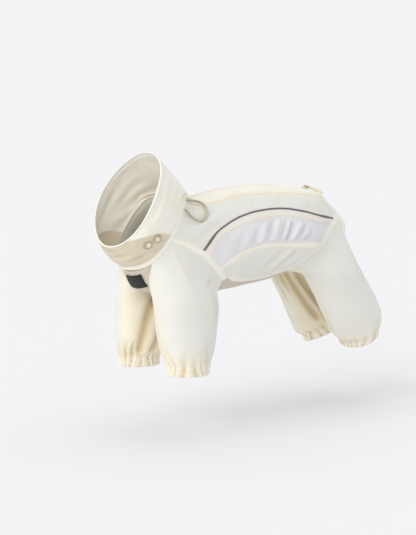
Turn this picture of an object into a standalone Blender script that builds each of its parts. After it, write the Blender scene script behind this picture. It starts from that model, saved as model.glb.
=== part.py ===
"""Four-leg dog bodysuit with a raised hood, worn shape and hollow. +Z up, head to -X, wearer's left to -Y.

The origin is at the withers, where the seam between hood and body crosses the spine. Tables are in
millimetres and degrees; meshes are in metres. The body is one tube: a place on it is (back, turn), where
back is the distance along the spine from the withers and turn goes from 0 at the spine over the left side to
180 at the belly.
"""

import math
from typing import NamedTuple

import bmesh
import bpy
import numpy as np
from mathutils import Matrix, Vector

MM = 0.001

# Cloth
WALL = 1.2  # thickness of a panel
SEAM_GAP = 0.3  # between neighbouring pieces
TAPE_RISE = 0.4  # seam tapes stand this much prouder than the panels
MM_PER_DEGREE = 1.1  # girth length of one degree of turn, for widths across a seam

# Tape and trim widths
RAGLAN_TAPE = 6.0
HIP_TAPE = 6.4
MID_TAPE = 5.4
BELLY_TAPE = 4.6
PIPING = 2.4
PIPING_RISE = 1.3
NECK_TAPE = 6.0
REAR_BINDING = 5.0
CUFF_DEPTH = 12.5
CUFF_DROP = 0.7  # below the leg's last ring, clear of its slanted edge

# Subdivisions
COLUMNS = 18  # along the body
NECK_COUNTS = (1, 1, 2, 4, 1, 3, 5)  # chain, zip tape, band, side, raglan tape, sleeve, chest
REAR_COUNTS = (1, 1, 2, 5, 1, 7, 5)  # chain, zip tape, band, side, hip tape, hind leg, belly
SIDE_COUNTS = (2, 1)  # the side panel's shares of the raglan and hip seams
ROW_COUNTS = (2, 1, 3, 1, 3, 1)  # piping, mesh border, mesh panel, mid tape, lower side, belly tape
CHEST_COUNT = 4
ARMPIT_COUNT = 4
GROIN_COUNT = 3
UNDER_COUNT = 10
FAN_COUNT = 5
GATHERS = 16
GATHER_POINTS = 3


class Section(NamedTuple):
    """One ring of the body tube. The side_back column moves its flanks towards the tail."""

    back: float
    top_x: float
    top_z: float
    belly_x: float
    belly_z: float
    half_width: float
    side_back: float
    low_width: float


BODY = (
    Section(-30, -20, 18, -124, -72, 49, -6, 0),
    Section(0, 0, 0, -100, -93, 52, -8, 0),
    Section(30, 29, 5.5, -84, -118, 58, -4, 0),
    Section(60, 59, 10.5, -48, -131, 63, 0, 0),
    Section(105, 105, 15.2, 8, -134, 66, 0, 0),
    Section(150, 150, 16.2, 62, -129, 67, 0, 0),
    Section(195, 195, 14.4, 108, -124, 65, 0, 0.06),
    Section(235, 235, 9.0, 146, -118, 57, 14, 0.2),
    Section(268, 266, 2.0, 176, -112, 29, 66, 0.5),
)


class HoodRing(NamedTuple):
    """One ring of the hood, from the neck seam at level 0 to the face opening at level 1."""

    level: float
    top_x: float
    top_z: float
    chin_x: float
    chin_z: float
    half_width: float
    side_back: float


HOOD = (
    HoodRing(0.0, -5, 3, -105, -88, 52, -8),
    HoodRing(0.15, -11, 10, -113, -84, 55, -8),
    HoodRing(0.4, -27, 25, -121, -77, 58, -8),
    HoodRing(0.7, -47, 43, -126, -69, 60, -6),
    HoodRing(1.0, -68, 60, -129, -61, 58, -4),
)
HOOD_EDGE = 0.94  # the panels end here and the rim binding begins


class Place(NamedTuple):
    """A point of a seam on the body: back along the spine, turn around it."""

    back: float
    turn: float


class Stop(NamedTuple):
    """Where a ring seam lies: its back at a turn."""

    turn: float
    back: float


NECK = (
    Stop(0, 0), Stop(28, -9), Stop(50, -19), Stop(66, -14), Stop(84, -6),
    Stop(100, -1), Stop(120, 2), Stop(138, 3), Stop(180, 0),
)
REAR = (Stop(0, 258), Stop(32, 252), Stop(50, 257), Stop(75, 261), Stop(120, 263), Stop(180, 263))
NECK_TURNS = (0, 2.4, 10, 46, 96, 102, 138, 180)  # corners of the pieces that meet the neck seam
REAR_TURNS = (0, 3.6, 15, 32, 60, 67, 156, 180)  # and the rear opening

CHAIN_LINE = (Place(60, 2.0), Place(120, 1.9), Place(190, 2.0))
ZIP_LINE = (Place(60, 8.2), Place(120, 7.8), Place(190, 8.2))
BAND_LINE = (
    Place(25, 38), Place(50, 35), Place(82, 31.5), Place(148, 34.5), Place(190, 35.5), Place(218, 33),
)
PIPING_LINE = (
    Place(42, 86), Place(49, 77), Place(61, 67.5), Place(78, 61), Place(102, 57), Place(143, 56),
    Place(192, 60.5), Place(222, 65),
)
MESH_LINE = (Place(52, 92), Place(67, 77), Place(92, 69), Place(122, 65.5), Place(168, 67), Place(215, 73))
MID_LINE = (Place(105, 102), Place(140, 97), Place(186, 100))
BELLY_LINE = (Place(130, 140), Place(160, 146), Place(200, 147))
RAGLAN_LINE = (Place(-1, 99), Place(21, 96), Place(46, 101), Place(66, 110), Place(90, 122), Place(108, 133))
HIP_LINE = (
    Place(259, 63.5), Place(251, 72), Place(245, 84), Place(244, 100), Place(245, 114), Place(241, 129),
    Place(231, 141),
)
CHEST_LINE = (Place(10, 145), Place(25, 156), Place(39, 163))
CHEST_CORNER = Place(48, 165)
ARMPIT_LINE = (Place(65, 162), Place(85, 154))
GROIN_LINE = (Place(246, 149),)

# Where the rows of the side end on the raglan and hip seams, as shares of each seam's length
RAGLAN_STOPS = (0, 0.385, 0.41, 0.51, 0.75, 0.795, 0.96, 1)
HIP_STOPS = (0, 0.13, 0.16, 0.24, 0.53, 0.585, 0.95, 1)


class LegRing(NamedTuple):
    """One ring of a sleeve or leg. It slopes up towards the tail and, by slope_in, towards the other leg."""

    z: float
    x: float
    out: float
    fore_aft: float
    across: float
    slope_back: float
    slope_in: float


FRONT_LEG = (
    LegRing(-150, -34, 42, 47.5, 34, 0, 0),
    LegRing(-181, -36, 45, 43.5, 32, 0, 0),
    LegRing(-201, -38.5, 49, 38, 29.5, 0, 0),
    LegRing(-213, -40, 52, 32, 27, 0, 0),
    LegRing(-218.5, -41, 53.5, 29, 25.5, 0, 0),
)
HIND_LEG = (
    LegRing(-118, 257, 38, 55, 31, 0, 0),
    LegRing(-148, 278.5, 38, 52.5, 31.5, 0.1, 0.05),
    LegRing(-172, 294, 38.5, 50.5, 32, 0.2, 0.12),
    LegRing(-188, 303.5, 38.5, 48, 31, 0.3, 0.2),
    LegRing(-199, 309, 38.5, 43, 30, 0.35, 0.25),
    LegRing(-204.5, 312, 38.5, 34.5, 28, 0.35, 0.25),
)
# Angle round the leg at each corner of its top seam: 0 at the tail side, 90 outside, 180 at the head side
# Front: raglan at the neck, chest at the neck, chest corner, raglan's low end. Hind: hip at the rear opening,
# hip's low end, groin at the rear opening.
FRONT_CORNERS = (100, 165, 215, 352, 460)
HIND_CORNERS = (48, 190, 285, 408)

# How a sleeve or leg leaves its top seam: along the body's skin on the flank, straight down under the belly
LEAVE_SKIN = 0.62
LEAVE_PULL = 0.95
ARRIVE_PULL = 0.75
UNDER_TURN = 95.0
UNDER_SPAN = 50.0


class Fold(NamedTuple):
    """A soft trough down a sleeve or leg: its angle at the top and bottom, half width, depth and ends."""

    angle_top: float
    angle_low: float
    half_width: float
    depth: float
    start: float
    end: float


FRONT_FOLDS = (Fold(250, 235, 20, 4.0, 0.35, 0.98), Fold(150, 175, 18, 2.5, 0.3, 0.95))
HIND_FOLDS = (
    Fold(215, 250, 18, 4.5, 0.3, 0.98),
    Fold(270, 300, 18, 4.0, 0.35, 0.95),
    Fold(20, 10, 18, 2.5, 0.5, 0.97),
)


class CuffRow(NamedTuple):
    """One row of a cuff: its share of the depth, its size beside the leg's last ring, its gathers' height."""

    share: float
    size: float
    wave: float


CUFF_ROWS = (CuffRow(0, 0.985, 1.0), CuffRow(0.5, 0.93, 0.5), CuffRow(1, 0.96, 1.3))

# The hood's throat collar and rim, as (level, turn) on the hood
COLLAR_LINE = ((0.25, 104), (0.6, 124))
RIM_CORNER = (HOOD_EDGE, 150)

# Nape cord, closed snaps, label
CORD_DIAMETER = 3.2
CORD_ROUTE = (  # back, turn and height off the body, from the neck seam and back to it
    (-21, 47, 3.2), (-10, 38, 4.0), (5, 32, 4.2), (15, 37, 3.8), (20, 47, 3.4),
    (22, 57, 3.4), (19, 64, 3.4), (10, 66, 3.4), (-2, 64, 3.4), (-16, 61, 3.2),
)
CORD_SIDES = 8
CORD_STEP = 2.4  # diameters between two points of the tube
SNAP_RADIUS = 6.0
SNAP_RIM = 1.1  # height of the snap's straight edge
SNAP_DOME = 0.9
SNAP_SIDES = 12
SNAP_GAP = 0.5  # over the curved cloth under a cap's middle
SNAPS = ((0.28, 112), (0.36, 126))  # level and turn on the hood surface
LABEL_BACKS = (9.0, 29.0)
LABEL_TURNS = (160.0, 190.0)
LABEL_COUNTS = (2, 4)
LABEL_LIFT = (1.3, 2.1)  # its inner and outer face over the chest panel's middle

# Zip. The slider's bridge is an arch along the zip; the pull's crossbar turns inside it.
CHAIN_RISE = 0.7
SLIDER_BACK = 231.0
SLIDER = (10.0, 7.5, 2.2)  # length, width, height
SLIDER_EDGE = 0.5
BRIDGE_SPAN = 6.2
BRIDGE_BAR = 1.1
BRIDGE_WIDTH = 1.6
BRIDGE_OPENING = 2.7  # height under the arch
PULL_LENGTH = 40.0
PULL_WIDTH = 7.0
PULL_THICKNESS = 1.4
PULL_SIDES = 24
PULL_CROSSBAR = 1.2
PULL_SLOT = (4.8, 2.4)  # reach from the axis, width
PULL_TILT = 14.0  # the pull lies back and down towards the tail


def row_at(rows, key):
    """The table's columns at key, on a smooth curve through its rows."""
    table = np.array(rows, float)
    keys = table[:, 0]
    last = len(keys) - 1
    i = int(np.clip(np.searchsorted(keys, key) - 1, 0, last - 1))

    def slope(j):
        low, high = max(j - 1, 0), min(j + 1, last)
        return (table[high] - table[low]) / (keys[high] - keys[low])

    span = keys[i + 1] - keys[i]
    t = (key - keys[i]) / span
    start = (2 * t**3 - 3 * t**2 + 1) * table[i] + (t**3 - 2 * t**2 + t) * span * slope(i)
    end = (3 * t**2 - 2 * t**3) * table[i + 1] + (t**3 - t**2) * span * slope(i + 1)
    return start + end


def ring_point(top, low, half_width, side_back, turn, low_width=0.0):
    """A point of an oval ring that hangs from top to low, both (x, z)."""
    angle = math.radians(turn)
    fall = (1 - math.cos(angle)) / 2
    x = top[0] + (low[0] - top[0]) * fall + side_back * math.sin(angle) ** 4
    y = -half_width * math.sin(angle) * (1 + low_width * fall * fall)
    z = top[1] + (low[1] - top[1]) * fall
    return np.array([x, y, z])


def body_point(place):
    """A point of the body's surface."""
    s = Section(*row_at(BODY, place[0]))
    top, low = (s.top_x, s.top_z), (s.belly_x, s.belly_z)
    return ring_point(top, low, s.half_width, s.side_back, place[1], s.low_width)


def unit(vector):
    return vector / max(np.linalg.norm(vector), 1e-9)


def surface_normal(point_of, place, steps):
    """The outward normal of a surface whose parameters run to the tail and down the left side."""
    a, b = place
    along = point_of((a + steps[0], b)) - point_of((a - steps[0], b))
    around = point_of((a, b + steps[1])) - point_of((a, b - steps[1]))
    return unit(np.cross(around, along))


seam_normals = {}


def seam_key(place):
    """A place rounded, to find a shared normal by."""
    return round(place[0], 3), round(place[1], 3)


def body_normal(place):
    """The body's normal, or at a crease between two pieces the one that they share."""
    back, turn = place[0], place[1] % 360
    mirrored = turn > 180
    near = (back, 360 - turn if mirrored else turn)
    normal = seam_normals.get(seam_key(near))
    if normal is None:
        normal = surface_normal(body_point, near, (1.0, 1.0))
    return normal * (1, -1, 1) if mirrored else normal


def left_turn(turn):
    """The turn of the same place on the left side."""
    turn %= 360
    return 360 - turn if turn > 180 else turn


def ring_back(rows, turn):
    """Where a ring seam crosses a turn of the left side."""
    return row_at(rows, turn)[1]


def neck_edge(turn):
    """The place on the body where the neck tape ends and the hood begins."""
    return Place(ring_back(NECK, left_turn(turn)) - NECK_TAPE, turn)


def hood_point(place):
    """A point of the hood at (level, turn). At level 0 it meets the neck tape."""
    level, turn = place
    s = HoodRing(*row_at(HOOD, level))
    ring = ring_point((s.top_x, s.top_z), (s.chin_x, s.chin_z), s.half_width, s.side_back, turn)
    first = HOOD[0]
    start = ring_point(
        (first.top_x, first.top_z), (first.chin_x, first.chin_z), first.half_width, first.side_back, turn
    )
    return ring + (body_point(neck_edge(turn)) - start) * max(1 - level, 0) ** 2


def hood_normal(place):
    """The hood's outward normal. At the neck it is the one that the neck tape has there."""
    level, turn = place
    if level <= 0:
        return body_normal(neck_edge(turn))
    return -surface_normal(hood_point, (level, turn), (0.02, 1.0))


# Lines on the body


def line_rows(places):
    """The places with their distance along the line as first column."""
    marks = np.array(places, float)
    steps = np.hypot(np.diff(marks[:, 0]), np.diff(marks[:, 1]) * MM_PER_DEGREE)
    return np.column_stack([np.concatenate([[0], np.cumsum(steps)]), marks])


def through(places, count):
    """count + 1 places evenly along a smooth curve through the given ones."""
    rows = line_rows(places)
    return [Place(*row_at(rows, d)[1:]) for d in np.linspace(0, rows[-1, 0], count + 1)]


def at_shares(places, stops, counts):
    """Places along a seam, counts[i] steps between stops[i] and stops[i + 1]."""
    rows = line_rows(places)
    return [Place(*row_at(rows, share * rows[-1, 0])[1:]) for share in spread(stops, counts)]


def spread(stops, counts):
    """Values from the first stop to the last, with counts[i] even steps between each two."""
    values = [float(stops[0])]
    for low, high, count in zip(stops, stops[1:], counts):
        values += list(np.linspace(low, high, count + 1)[1:])
    return values


def shifted(places, distance):
    """The line moved sideways by a distance, towards a greater turn on a line that runs to the tail."""
    marks = np.array(places, float) * (1, MM_PER_DEGREE)
    tangent = np.gradient(marks, axis=0)
    tangent /= np.linalg.norm(tangent, axis=1, keepdims=True)
    side = np.column_stack([-tangent[:, 1], tangent[:, 0]])
    return [Place(*(p / (1, MM_PER_DEGREE))) for p in marks + side * distance]


def snapped(places, first, last):
    """The line with its ends put on the seams that it meets."""
    return [first, *places[1:-1], last]


def mirrored(places):
    """The same line on the other side."""
    return [Place(p[0], 360 - p[1]) for p in places]


def patch(top, bottom, front, rear):
    """A grid of places inside four lines: rows go from top to bottom, columns from front to rear."""
    top, bottom, front, rear = (np.array(line, float) for line in (top, bottom, front, rear))
    columns, rows = len(top) - 1, len(front) - 1
    grid = []
    for j in range(rows + 1):
        v = j / rows
        line = []
        for i in range(columns + 1):
            u = i / columns
            across = (1 - v) * top[i] + v * bottom[i]
            along = (1 - u) * front[j] + u * rear[j]
            corners = (1 - u) * ((1 - v) * top[0] + v * bottom[0]) + u * ((1 - v) * top[-1] + v * bottom[-1])
            line.append(tuple(across + along - corners))
        grid.append(line)
    return grid


# Solids


class Finish(NamedTuple):
    """A material's colour as red, green, blue in 0 to 255, and how rough and metallic it is."""

    rgb: tuple
    roughness: float
    metallic: float = 0.0


SHELL = Finish((226, 228, 220), 0.6)
CREAM = Finish((243, 239, 220), 0.7)
MESH = Finish((222, 219, 224), 0.8)
BORDER = Finish((236, 233, 228), 0.7)
BEIGE = Finish((211, 201, 182), 0.85)
VIOLET = Finish((90, 88, 104), 0.4)
BLACK = Finish((28, 28, 30), 0.8)
STEEL = Finish((185, 187, 189), 0.3, 1.0)
BRAID = Finish((182, 175, 156), 0.8)
GAMMA = 2.2
SHARP = math.radians(40)


def add_material(name, finish):
    """A material of its own for one piece."""
    material = bpy.data.materials.new(name)
    material.use_nodes = True
    shader = material.node_tree.nodes["Principled BSDF"]
    shader.inputs["Base Color"].default_value = (*((c / 255) ** GAMMA for c in finish.rgb), 1)
    shader.inputs["Roughness"].default_value = finish.roughness
    shader.inputs["Metallic"].default_value = finish.metallic
    return material


def add_data(name, data, finish):
    """An object for finished mesh or curve data."""
    data.materials.append(add_material(name, finish))
    thing = bpy.data.objects.new(name, data)
    bpy.context.scene.collection.objects.link(thing)
    return thing


def add_object(name, points, faces, finish, flip=False):
    """One named object from points in millimetres. flip turns its faces the other way round."""
    mesh = bpy.data.meshes.new(name)
    turned = [(f[0], *f[:0:-1]) for f in faces] if flip else faces
    mesh.from_pydata([tuple(float(c) * MM for c in p) for p in points], [], turned)
    mesh.validate()
    mesh.shade_smooth()
    mesh.set_sharp_from_angle(angle=SHARP)
    return add_data(name, mesh, finish)


def pulled_in(grid, distance, closed):
    """The grid with its free edges drawn in, square to each edge."""
    grid = grid.copy()

    def draw(edge, inner, loop):
        tangent = np.roll(edge, -1, 0) - np.roll(edge, 1, 0) if loop else np.gradient(edge, axis=0)
        tangent = tangent / np.maximum(np.linalg.norm(tangent, axis=1, keepdims=True), 1e-9)
        way = inner - edge
        way = way - tangent * (way * tangent).sum(1, keepdims=True)
        return edge + distance * way / np.maximum(np.linalg.norm(way, axis=1, keepdims=True), 1e-9)

    first = draw(grid[0], grid[1], closed)
    last = draw(grid[-1], grid[-2], closed)
    grid[0], grid[-1] = first, last
    if not closed:
        left = draw(grid[:, 0], grid[:, 1], False)
        right = draw(grid[:, -1], grid[:, -2], False)
        grid[:, 0], grid[:, -1] = left, right
    return grid


def rim_halves(points, a, b, under):
    """Two triangles of a wall's edge, split the same way as the edge of the piece across the seam."""
    if points[a][0] < points[b][0]:
        return (a, b, under + b), (a, under + b, under + a)
    return (a, b, under + a), (b, under + b, under + a)


def wall(name, grid, normals, finish, outer=WALL / 2, inner=WALL / 2, closed=False, ridge=0.0, mirror=False):
    """A wall through a grid of points. closed joins its last column to its first; ridge lifts its middle."""
    grid = pulled_in(np.array(grid, float), SEAM_GAP / 2, closed)
    normals = np.array(normals, float)
    rows, columns = grid.shape[:2]
    lift = np.full(rows, float(outer))
    lift[1:-1] += ridge
    out = grid + normals * lift[:, None, None]
    back = grid - normals * inner
    points = np.concatenate([out.reshape(-1, 3), back.reshape(-1, 3)])
    under = rows * columns

    def at(j, i):
        return j * columns + i % columns

    spans = columns if closed else columns - 1
    faces = []
    for j in range(rows - 1):
        for i in range(spans):
            quad = (at(j, i), at(j, i + 1), at(j + 1, i + 1), at(j + 1, i))
            faces.append(quad)
            faces.append(tuple(under + k for k in quad[::-1]))
    rim = [(at(0, i + 1), at(0, i)) for i in range(spans)]
    rim += [(at(rows - 1, i), at(rows - 1, i + 1)) for i in range(spans)]
    if not closed:
        rim += [(at(j, 0), at(j + 1, 0)) for j in range(rows - 1)]
        rim += [(at(j + 1, columns - 1), at(j, columns - 1)) for j in range(rows - 1)]
    faces += [half for a, b in rim for half in rim_halves(points, a, b, under)]
    j, i = min(rows // 2, rows - 2), min(columns // 2, columns - 2)
    facing = np.cross(grid[j, i + 1] - grid[j, i], grid[j + 1, i] - grid[j, i])
    flip = float(facing @ normals[j, i]) < 0
    if mirror:
        points = points * (1, -1, 1)
        flip = not flip
    add_object(name, points, faces, finish, flip)


def pair(name, grid, normals, finish, **sizes):
    """The piece on the wearer's left, and its mirror image on the right."""
    wall(f"{name}_left", grid, normals, finish, **sizes)
    wall(f"{name}_right", grid, normals, finish, mirror=True, **sizes)


def on_body(places):
    """Points and normals of a grid of places on the body."""
    points = [[body_point(p) for p in line] for line in places]
    normals = [[body_normal(p) for p in line] for line in places]
    return points, normals


def on_hood(places):
    """Points and normals of a grid of (level, turn) on the hood."""
    points = [[hood_point(p) for p in line] for line in places]
    normals = [[hood_normal(p) for p in line] for line in places]
    return points, normals


TAPE = {"outer": WALL / 2 + TAPE_RISE}

# Seams on the left side, each a list of places that all the pieces along it share

neck = [Place(ring_back(NECK, turn), turn) for turn in spread(NECK_TURNS, NECK_COUNTS)]
rear = [Place(ring_back(REAR, turn), turn) for turn in spread(REAR_TURNS, REAR_COUNTS)]
neck_at = np.cumsum((0, *NECK_COUNTS))
rear_at = np.cumsum((0, *REAR_COUNTS))

raglan_counts = (SIDE_COUNTS[0], *ROW_COUNTS)
raglan = at_shares(RAGLAN_LINE, RAGLAN_STOPS, raglan_counts)
raglan_back = [neck[neck_at[4]], *shifted(raglan, -RAGLAN_TAPE / 2)[1:]]
raglan_front = [neck[neck_at[5]], *shifted(raglan, RAGLAN_TAPE / 2)[1:]]
raglan_at = np.cumsum((0, *raglan_counts))

hip_counts = (SIDE_COUNTS[1], *ROW_COUNTS)
hip = at_shares(HIP_LINE, HIP_STOPS, hip_counts)
hip_front = [rear[rear_at[4]], *shifted(hip, HIP_TAPE / 2)[1:]]
hip_back = [rear[rear_at[5]], *shifted(hip, -HIP_TAPE / 2)[1:]]
hip_at = np.cumsum((0, *hip_counts))

chain_edge = through([neck[neck_at[1]], *CHAIN_LINE, rear[rear_at[1]]], COLUMNS)
zip_edge = through([neck[neck_at[2]], *ZIP_LINE, rear[rear_at[2]]], COLUMNS)
band_edge = through([neck[neck_at[3]], *BAND_LINE, rear[rear_at[3]]], COLUMNS)


def side_line(stop, line, shift=0.0):
    """A line along the side from the raglan seam to the hip seam, where row number stop ends."""
    start, end = raglan_back[raglan_at[stop + 1]], hip_front[hip_at[stop + 1]]
    return snapped(shifted(through([start, *line, end], COLUMNS), shift), start, end)


piping_top = side_line(0, PIPING_LINE, -PIPING / 2)
piping_low = side_line(1, PIPING_LINE, PIPING / 2)
mesh_top = side_line(2, MESH_LINE)
mid_top = side_line(3, MID_LINE, -MID_TAPE / 2)
mid_low = side_line(4, MID_LINE, MID_TAPE / 2)
belly_top = side_line(5, BELLY_LINE, -BELLY_TAPE)
belly_low = side_line(6, BELLY_LINE)

chest = through([neck[neck_at[6]], *CHEST_LINE, CHEST_CORNER], CHEST_COUNT)
armpit = through([CHEST_CORNER, *ARMPIT_LINE, raglan_front[-1]], ARMPIT_COUNT)
groin = through([hip_back[-1], *GROIN_LINE, rear[rear_at[6]]], GROIN_COUNT)


# Sleeves and legs


def leg_point(ring, angle):
    """A point of a ring on the wearer's left."""
    dx = ring.fore_aft * math.cos(math.radians(angle))
    dy = ring.across * math.sin(math.radians(angle))
    return np.array([ring.x + dx, -ring.out - dy, ring.z + ring.slope_back * dx - ring.slope_in * dy])


def grid_normals(grid, centre):
    """Normals of a tube of points, away from its axis."""
    around = np.roll(grid, -1, 1) - np.roll(grid, 1, 1)
    down = np.gradient(grid, axis=0)
    normals = np.cross(around, down)
    normals /= np.maximum(np.linalg.norm(normals, axis=2, keepdims=True), 1e-9)
    outward = (normals[-1] * (grid[-1] - centre)).sum()
    return normals if outward > 0 else -normals


def leg_grid(loop, angles, rings, folds):
    """A tube that leaves the closed seam loop smoothly and goes down through the rings."""
    seam = np.array([body_point(p) for p in loop])
    skin = np.array([surface_normal(body_point, p, (1.0, 1.0)) for p in loop])
    first = np.array([leg_point(rings[0], a) for a in angles])
    second = np.array([leg_point(rings[1], a) for a in angles])
    tangent = np.roll(seam, -1, 0) - np.roll(seam, 1, 0)
    inward = np.cross(skin, tangent)
    inward /= np.linalg.norm(inward, axis=1, keepdims=True)
    if (inward * (seam.mean(0) - seam)).sum() < 0:
        inward = -inward
    reach = np.linalg.norm(first - seam, axis=1, keepdims=True)
    straight = (first - seam) / reach
    turns = np.array([p[1] for p in loop], float)
    under = np.clip((turns - UNDER_TURN) / UNDER_SPAN, 0, 1)[:, None]
    under = under * under * (3 - 2 * under)
    leave = (LEAVE_SKIN * inward + (1 - LEAVE_SKIN) * straight) * (1 - under) + straight * under
    leave /= np.linalg.norm(leave, axis=1, keepdims=True)
    arrive = second - first
    arrive /= np.linalg.norm(arrive, axis=1, keepdims=True)
    rows = []
    for t in np.linspace(0, 1, FAN_COUNT + 1):
        rows.append(
            (2 * t**3 - 3 * t**2 + 1) * seam
            + (t**3 - 2 * t**2 + t) * LEAVE_PULL * reach * leave
            + (3 * t**2 - 2 * t**3) * first
            + (t**3 - t**2) * ARRIVE_PULL * reach * arrive
        )
    rows += [np.array([leg_point(ring, a) for a in angles]) for ring in rings[1:]]
    grid = np.array(rows)
    last = rings[-1]
    normals = grid_normals(grid, np.array([last.x, -last.out, last.z]))
    for fold in folds:
        grid = grid - normals * fold_depth(fold, angles, len(rows))[:, :, None]
    shared = skin + normals[0]
    normals[0] = shared / np.linalg.norm(shared, axis=1, keepdims=True)
    for place, normal in zip(loop, normals[0]):
        seam_normals[seam_key(place)] = normal
    return grid, normals


def fold_depth(fold, angles, rows):
    """How far each point of the grid is pressed in."""
    depth = np.zeros((rows, len(angles)))
    for j in range(rows):
        share = j / (rows - 1)
        if not fold.start < share < fold.end:
            continue
        middle = fold.angle_top + (fold.angle_low - fold.angle_top) * share
        swell = math.sin(math.pi * (share - fold.start) / (fold.end - fold.start))
        off = (np.array(angles) - middle + 180) % 360 - 180
        depth[j] = fold.depth * swell * np.exp(-((off / fold.half_width) ** 2))
    return depth


sleeve_loop = neck[neck_at[5] : neck_at[6]] + chest[:-1] + armpit[:-1] + raglan_front[:0:-1]
sleeve_counts = (NECK_COUNTS[5], CHEST_COUNT, ARMPIT_COUNT, len(raglan_front) - 1)
sleeve_angles = spread(FRONT_CORNERS, sleeve_counts)[:-1]
sleeve_grid, sleeve_normals = leg_grid(sleeve_loop, sleeve_angles, FRONT_LEG, FRONT_FOLDS)

leg_loop = hip_back[:-1] + groin[:-1] + rear[rear_at[6] : rear_at[5] : -1]
leg_counts = (len(hip_back) - 1, GROIN_COUNT, REAR_COUNTS[5])
leg_angles = spread(HIND_CORNERS, leg_counts)[:-1]
hind_grid, hind_normals = leg_grid(leg_loop, leg_angles, HIND_LEG, HIND_FOLDS)


def cuff_grid(last_ring):
    """A short elastic band below a leg's last ring, in gathers that deepen to its lower edge."""
    count = GATHERS * GATHER_POINTS
    axis = unit(np.array([last_ring.slope_back, last_ring.slope_in, -1.0]))
    rows = []
    for row in CUFF_ROWS:
        ring = last_ring._replace(fore_aft=last_ring.fore_aft * row.size, across=last_ring.across * row.size)
        line = []
        for k in range(count):
            angle = 360 * k / count
            point = leg_point(ring, angle)
            away = unit(point - leg_point(ring, angle + 180))
            gather = math.cos(2 * math.pi * k / GATHER_POINTS)
            line.append(point + away * row.wave * gather + axis * (CUFF_DROP + row.share * CUFF_DEPTH))
        rows.append(line)
    grid = np.array(rows)
    return grid, grid_normals(grid, grid.mean(axis=(0, 1)))


# Build the pieces


def ends_between(ring, number, at_rear=False):
    """The stretch of the neck or rear seam at the end of one piece."""
    marks = rear_at if at_rear else neck_at
    return ring[marks[number] : marks[number + 1] + 1]


def make_back():
    """Zip chain, its tapes and the bands along it."""
    points, normals = on_body([mirrored(chain_edge), chain_edge])
    wall("zip_chain", points, normals, BORDER, outer=WALL / 2 + CHAIN_RISE)
    rows = patch(chain_edge, zip_edge, ends_between(neck, 1), ends_between(rear, 1, True))
    pair("zip_tape", *on_body(rows), CREAM)
    rows = patch(zip_edge, band_edge, ends_between(neck, 2), ends_between(rear, 2, True))
    pair("back_band", *on_body(rows), CREAM)


def make_side():
    """Side panel, piping, mesh border, mesh panel, mid tape, lower side and belly tape."""
    front = neck[neck_at[3] : neck_at[4]] + raglan_back[: raglan_at[1] + 1]
    end = rear[rear_at[3] : rear_at[4]] + hip_front[: hip_at[1] + 1]
    rows = patch(band_edge, piping_top, front, end)
    pair("upper_side", *on_body(rows), SHELL)
    lines = (piping_top, piping_low, mesh_top, mid_top, mid_low, belly_top, belly_low)
    pieces = (
        ("piping", VIOLET, {"ridge": PIPING_RISE}),
        ("mesh_border", BORDER, {}),
        ("mesh_panel", MESH, {}),
        ("mid_tape", CREAM, TAPE),
        ("lower_side", SHELL, {}),
        ("belly_tape", CREAM, TAPE),
    )
    for number, (name, finish, sizes) in enumerate(pieces):
        front = raglan_back[raglan_at[number + 1] : raglan_at[number + 2] + 1]
        end = hip_front[hip_at[number + 1] : hip_at[number + 2] + 1]
        rows = patch(lines[number], lines[number + 1], front, end)
        pair(name, *on_body(rows), finish, **sizes)


def make_underside():
    """Chest panel and belly panel, each from one side over the middle to the other."""
    rows = [np.linspace(p, q, UNDER_COUNT + 1) for p, q in zip(chest, mirrored(chest))]
    wall("chest_panel", *on_body(rows), BEIGE)
    line = armpit + [raglan_back[-1]] + belly_low[1:] + [hip_back[-1]] + groin[1:]
    rows = [np.linspace(p, q, UNDER_COUNT + 1) for p, q in zip(line, mirrored(line))]
    wall("belly_panel", *on_body(rows), BEIGE)


def whole_ring(half):
    """The ring seam on both sides, with no place on the spine, where the zip chain is flat."""
    return half[1:] + mirrored(half)[-2:0:-1]


def make_tapes():
    """Raglan and hip tapes, neck tape and the rear opening's binding."""
    pair("raglan_tape", *on_body([raglan_back, raglan_front]), CREAM, **TAPE)
    pair("hip_tape", *on_body([hip_front, hip_back]), CREAM, **TAPE)
    around = whole_ring(neck)
    upper = [Place(p.back - NECK_TAPE, p.turn) for p in around]
    wall("neck_tape", *on_body([upper, around]), CREAM, closed=True, **TAPE)
    around = whole_ring(rear)
    edge = [Place(p.back + REAR_BINDING, p.turn) for p in around]
    wall("rear_binding", *on_body([around, edge]), CREAM, closed=True, **TAPE)


def make_legs():
    """Sleeves and legs with their cuffs."""
    pair("front_sleeve", sleeve_grid, sleeve_normals, SHELL, closed=True)
    pair("hind_leg", hind_grid, hind_normals, SHELL, closed=True)
    pair("front_cuff", *cuff_grid(FRONT_LEG[-1]), CREAM, closed=True)
    pair("hind_cuff", *cuff_grid(HIND_LEG[-1]), CREAM, closed=True)


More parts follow.
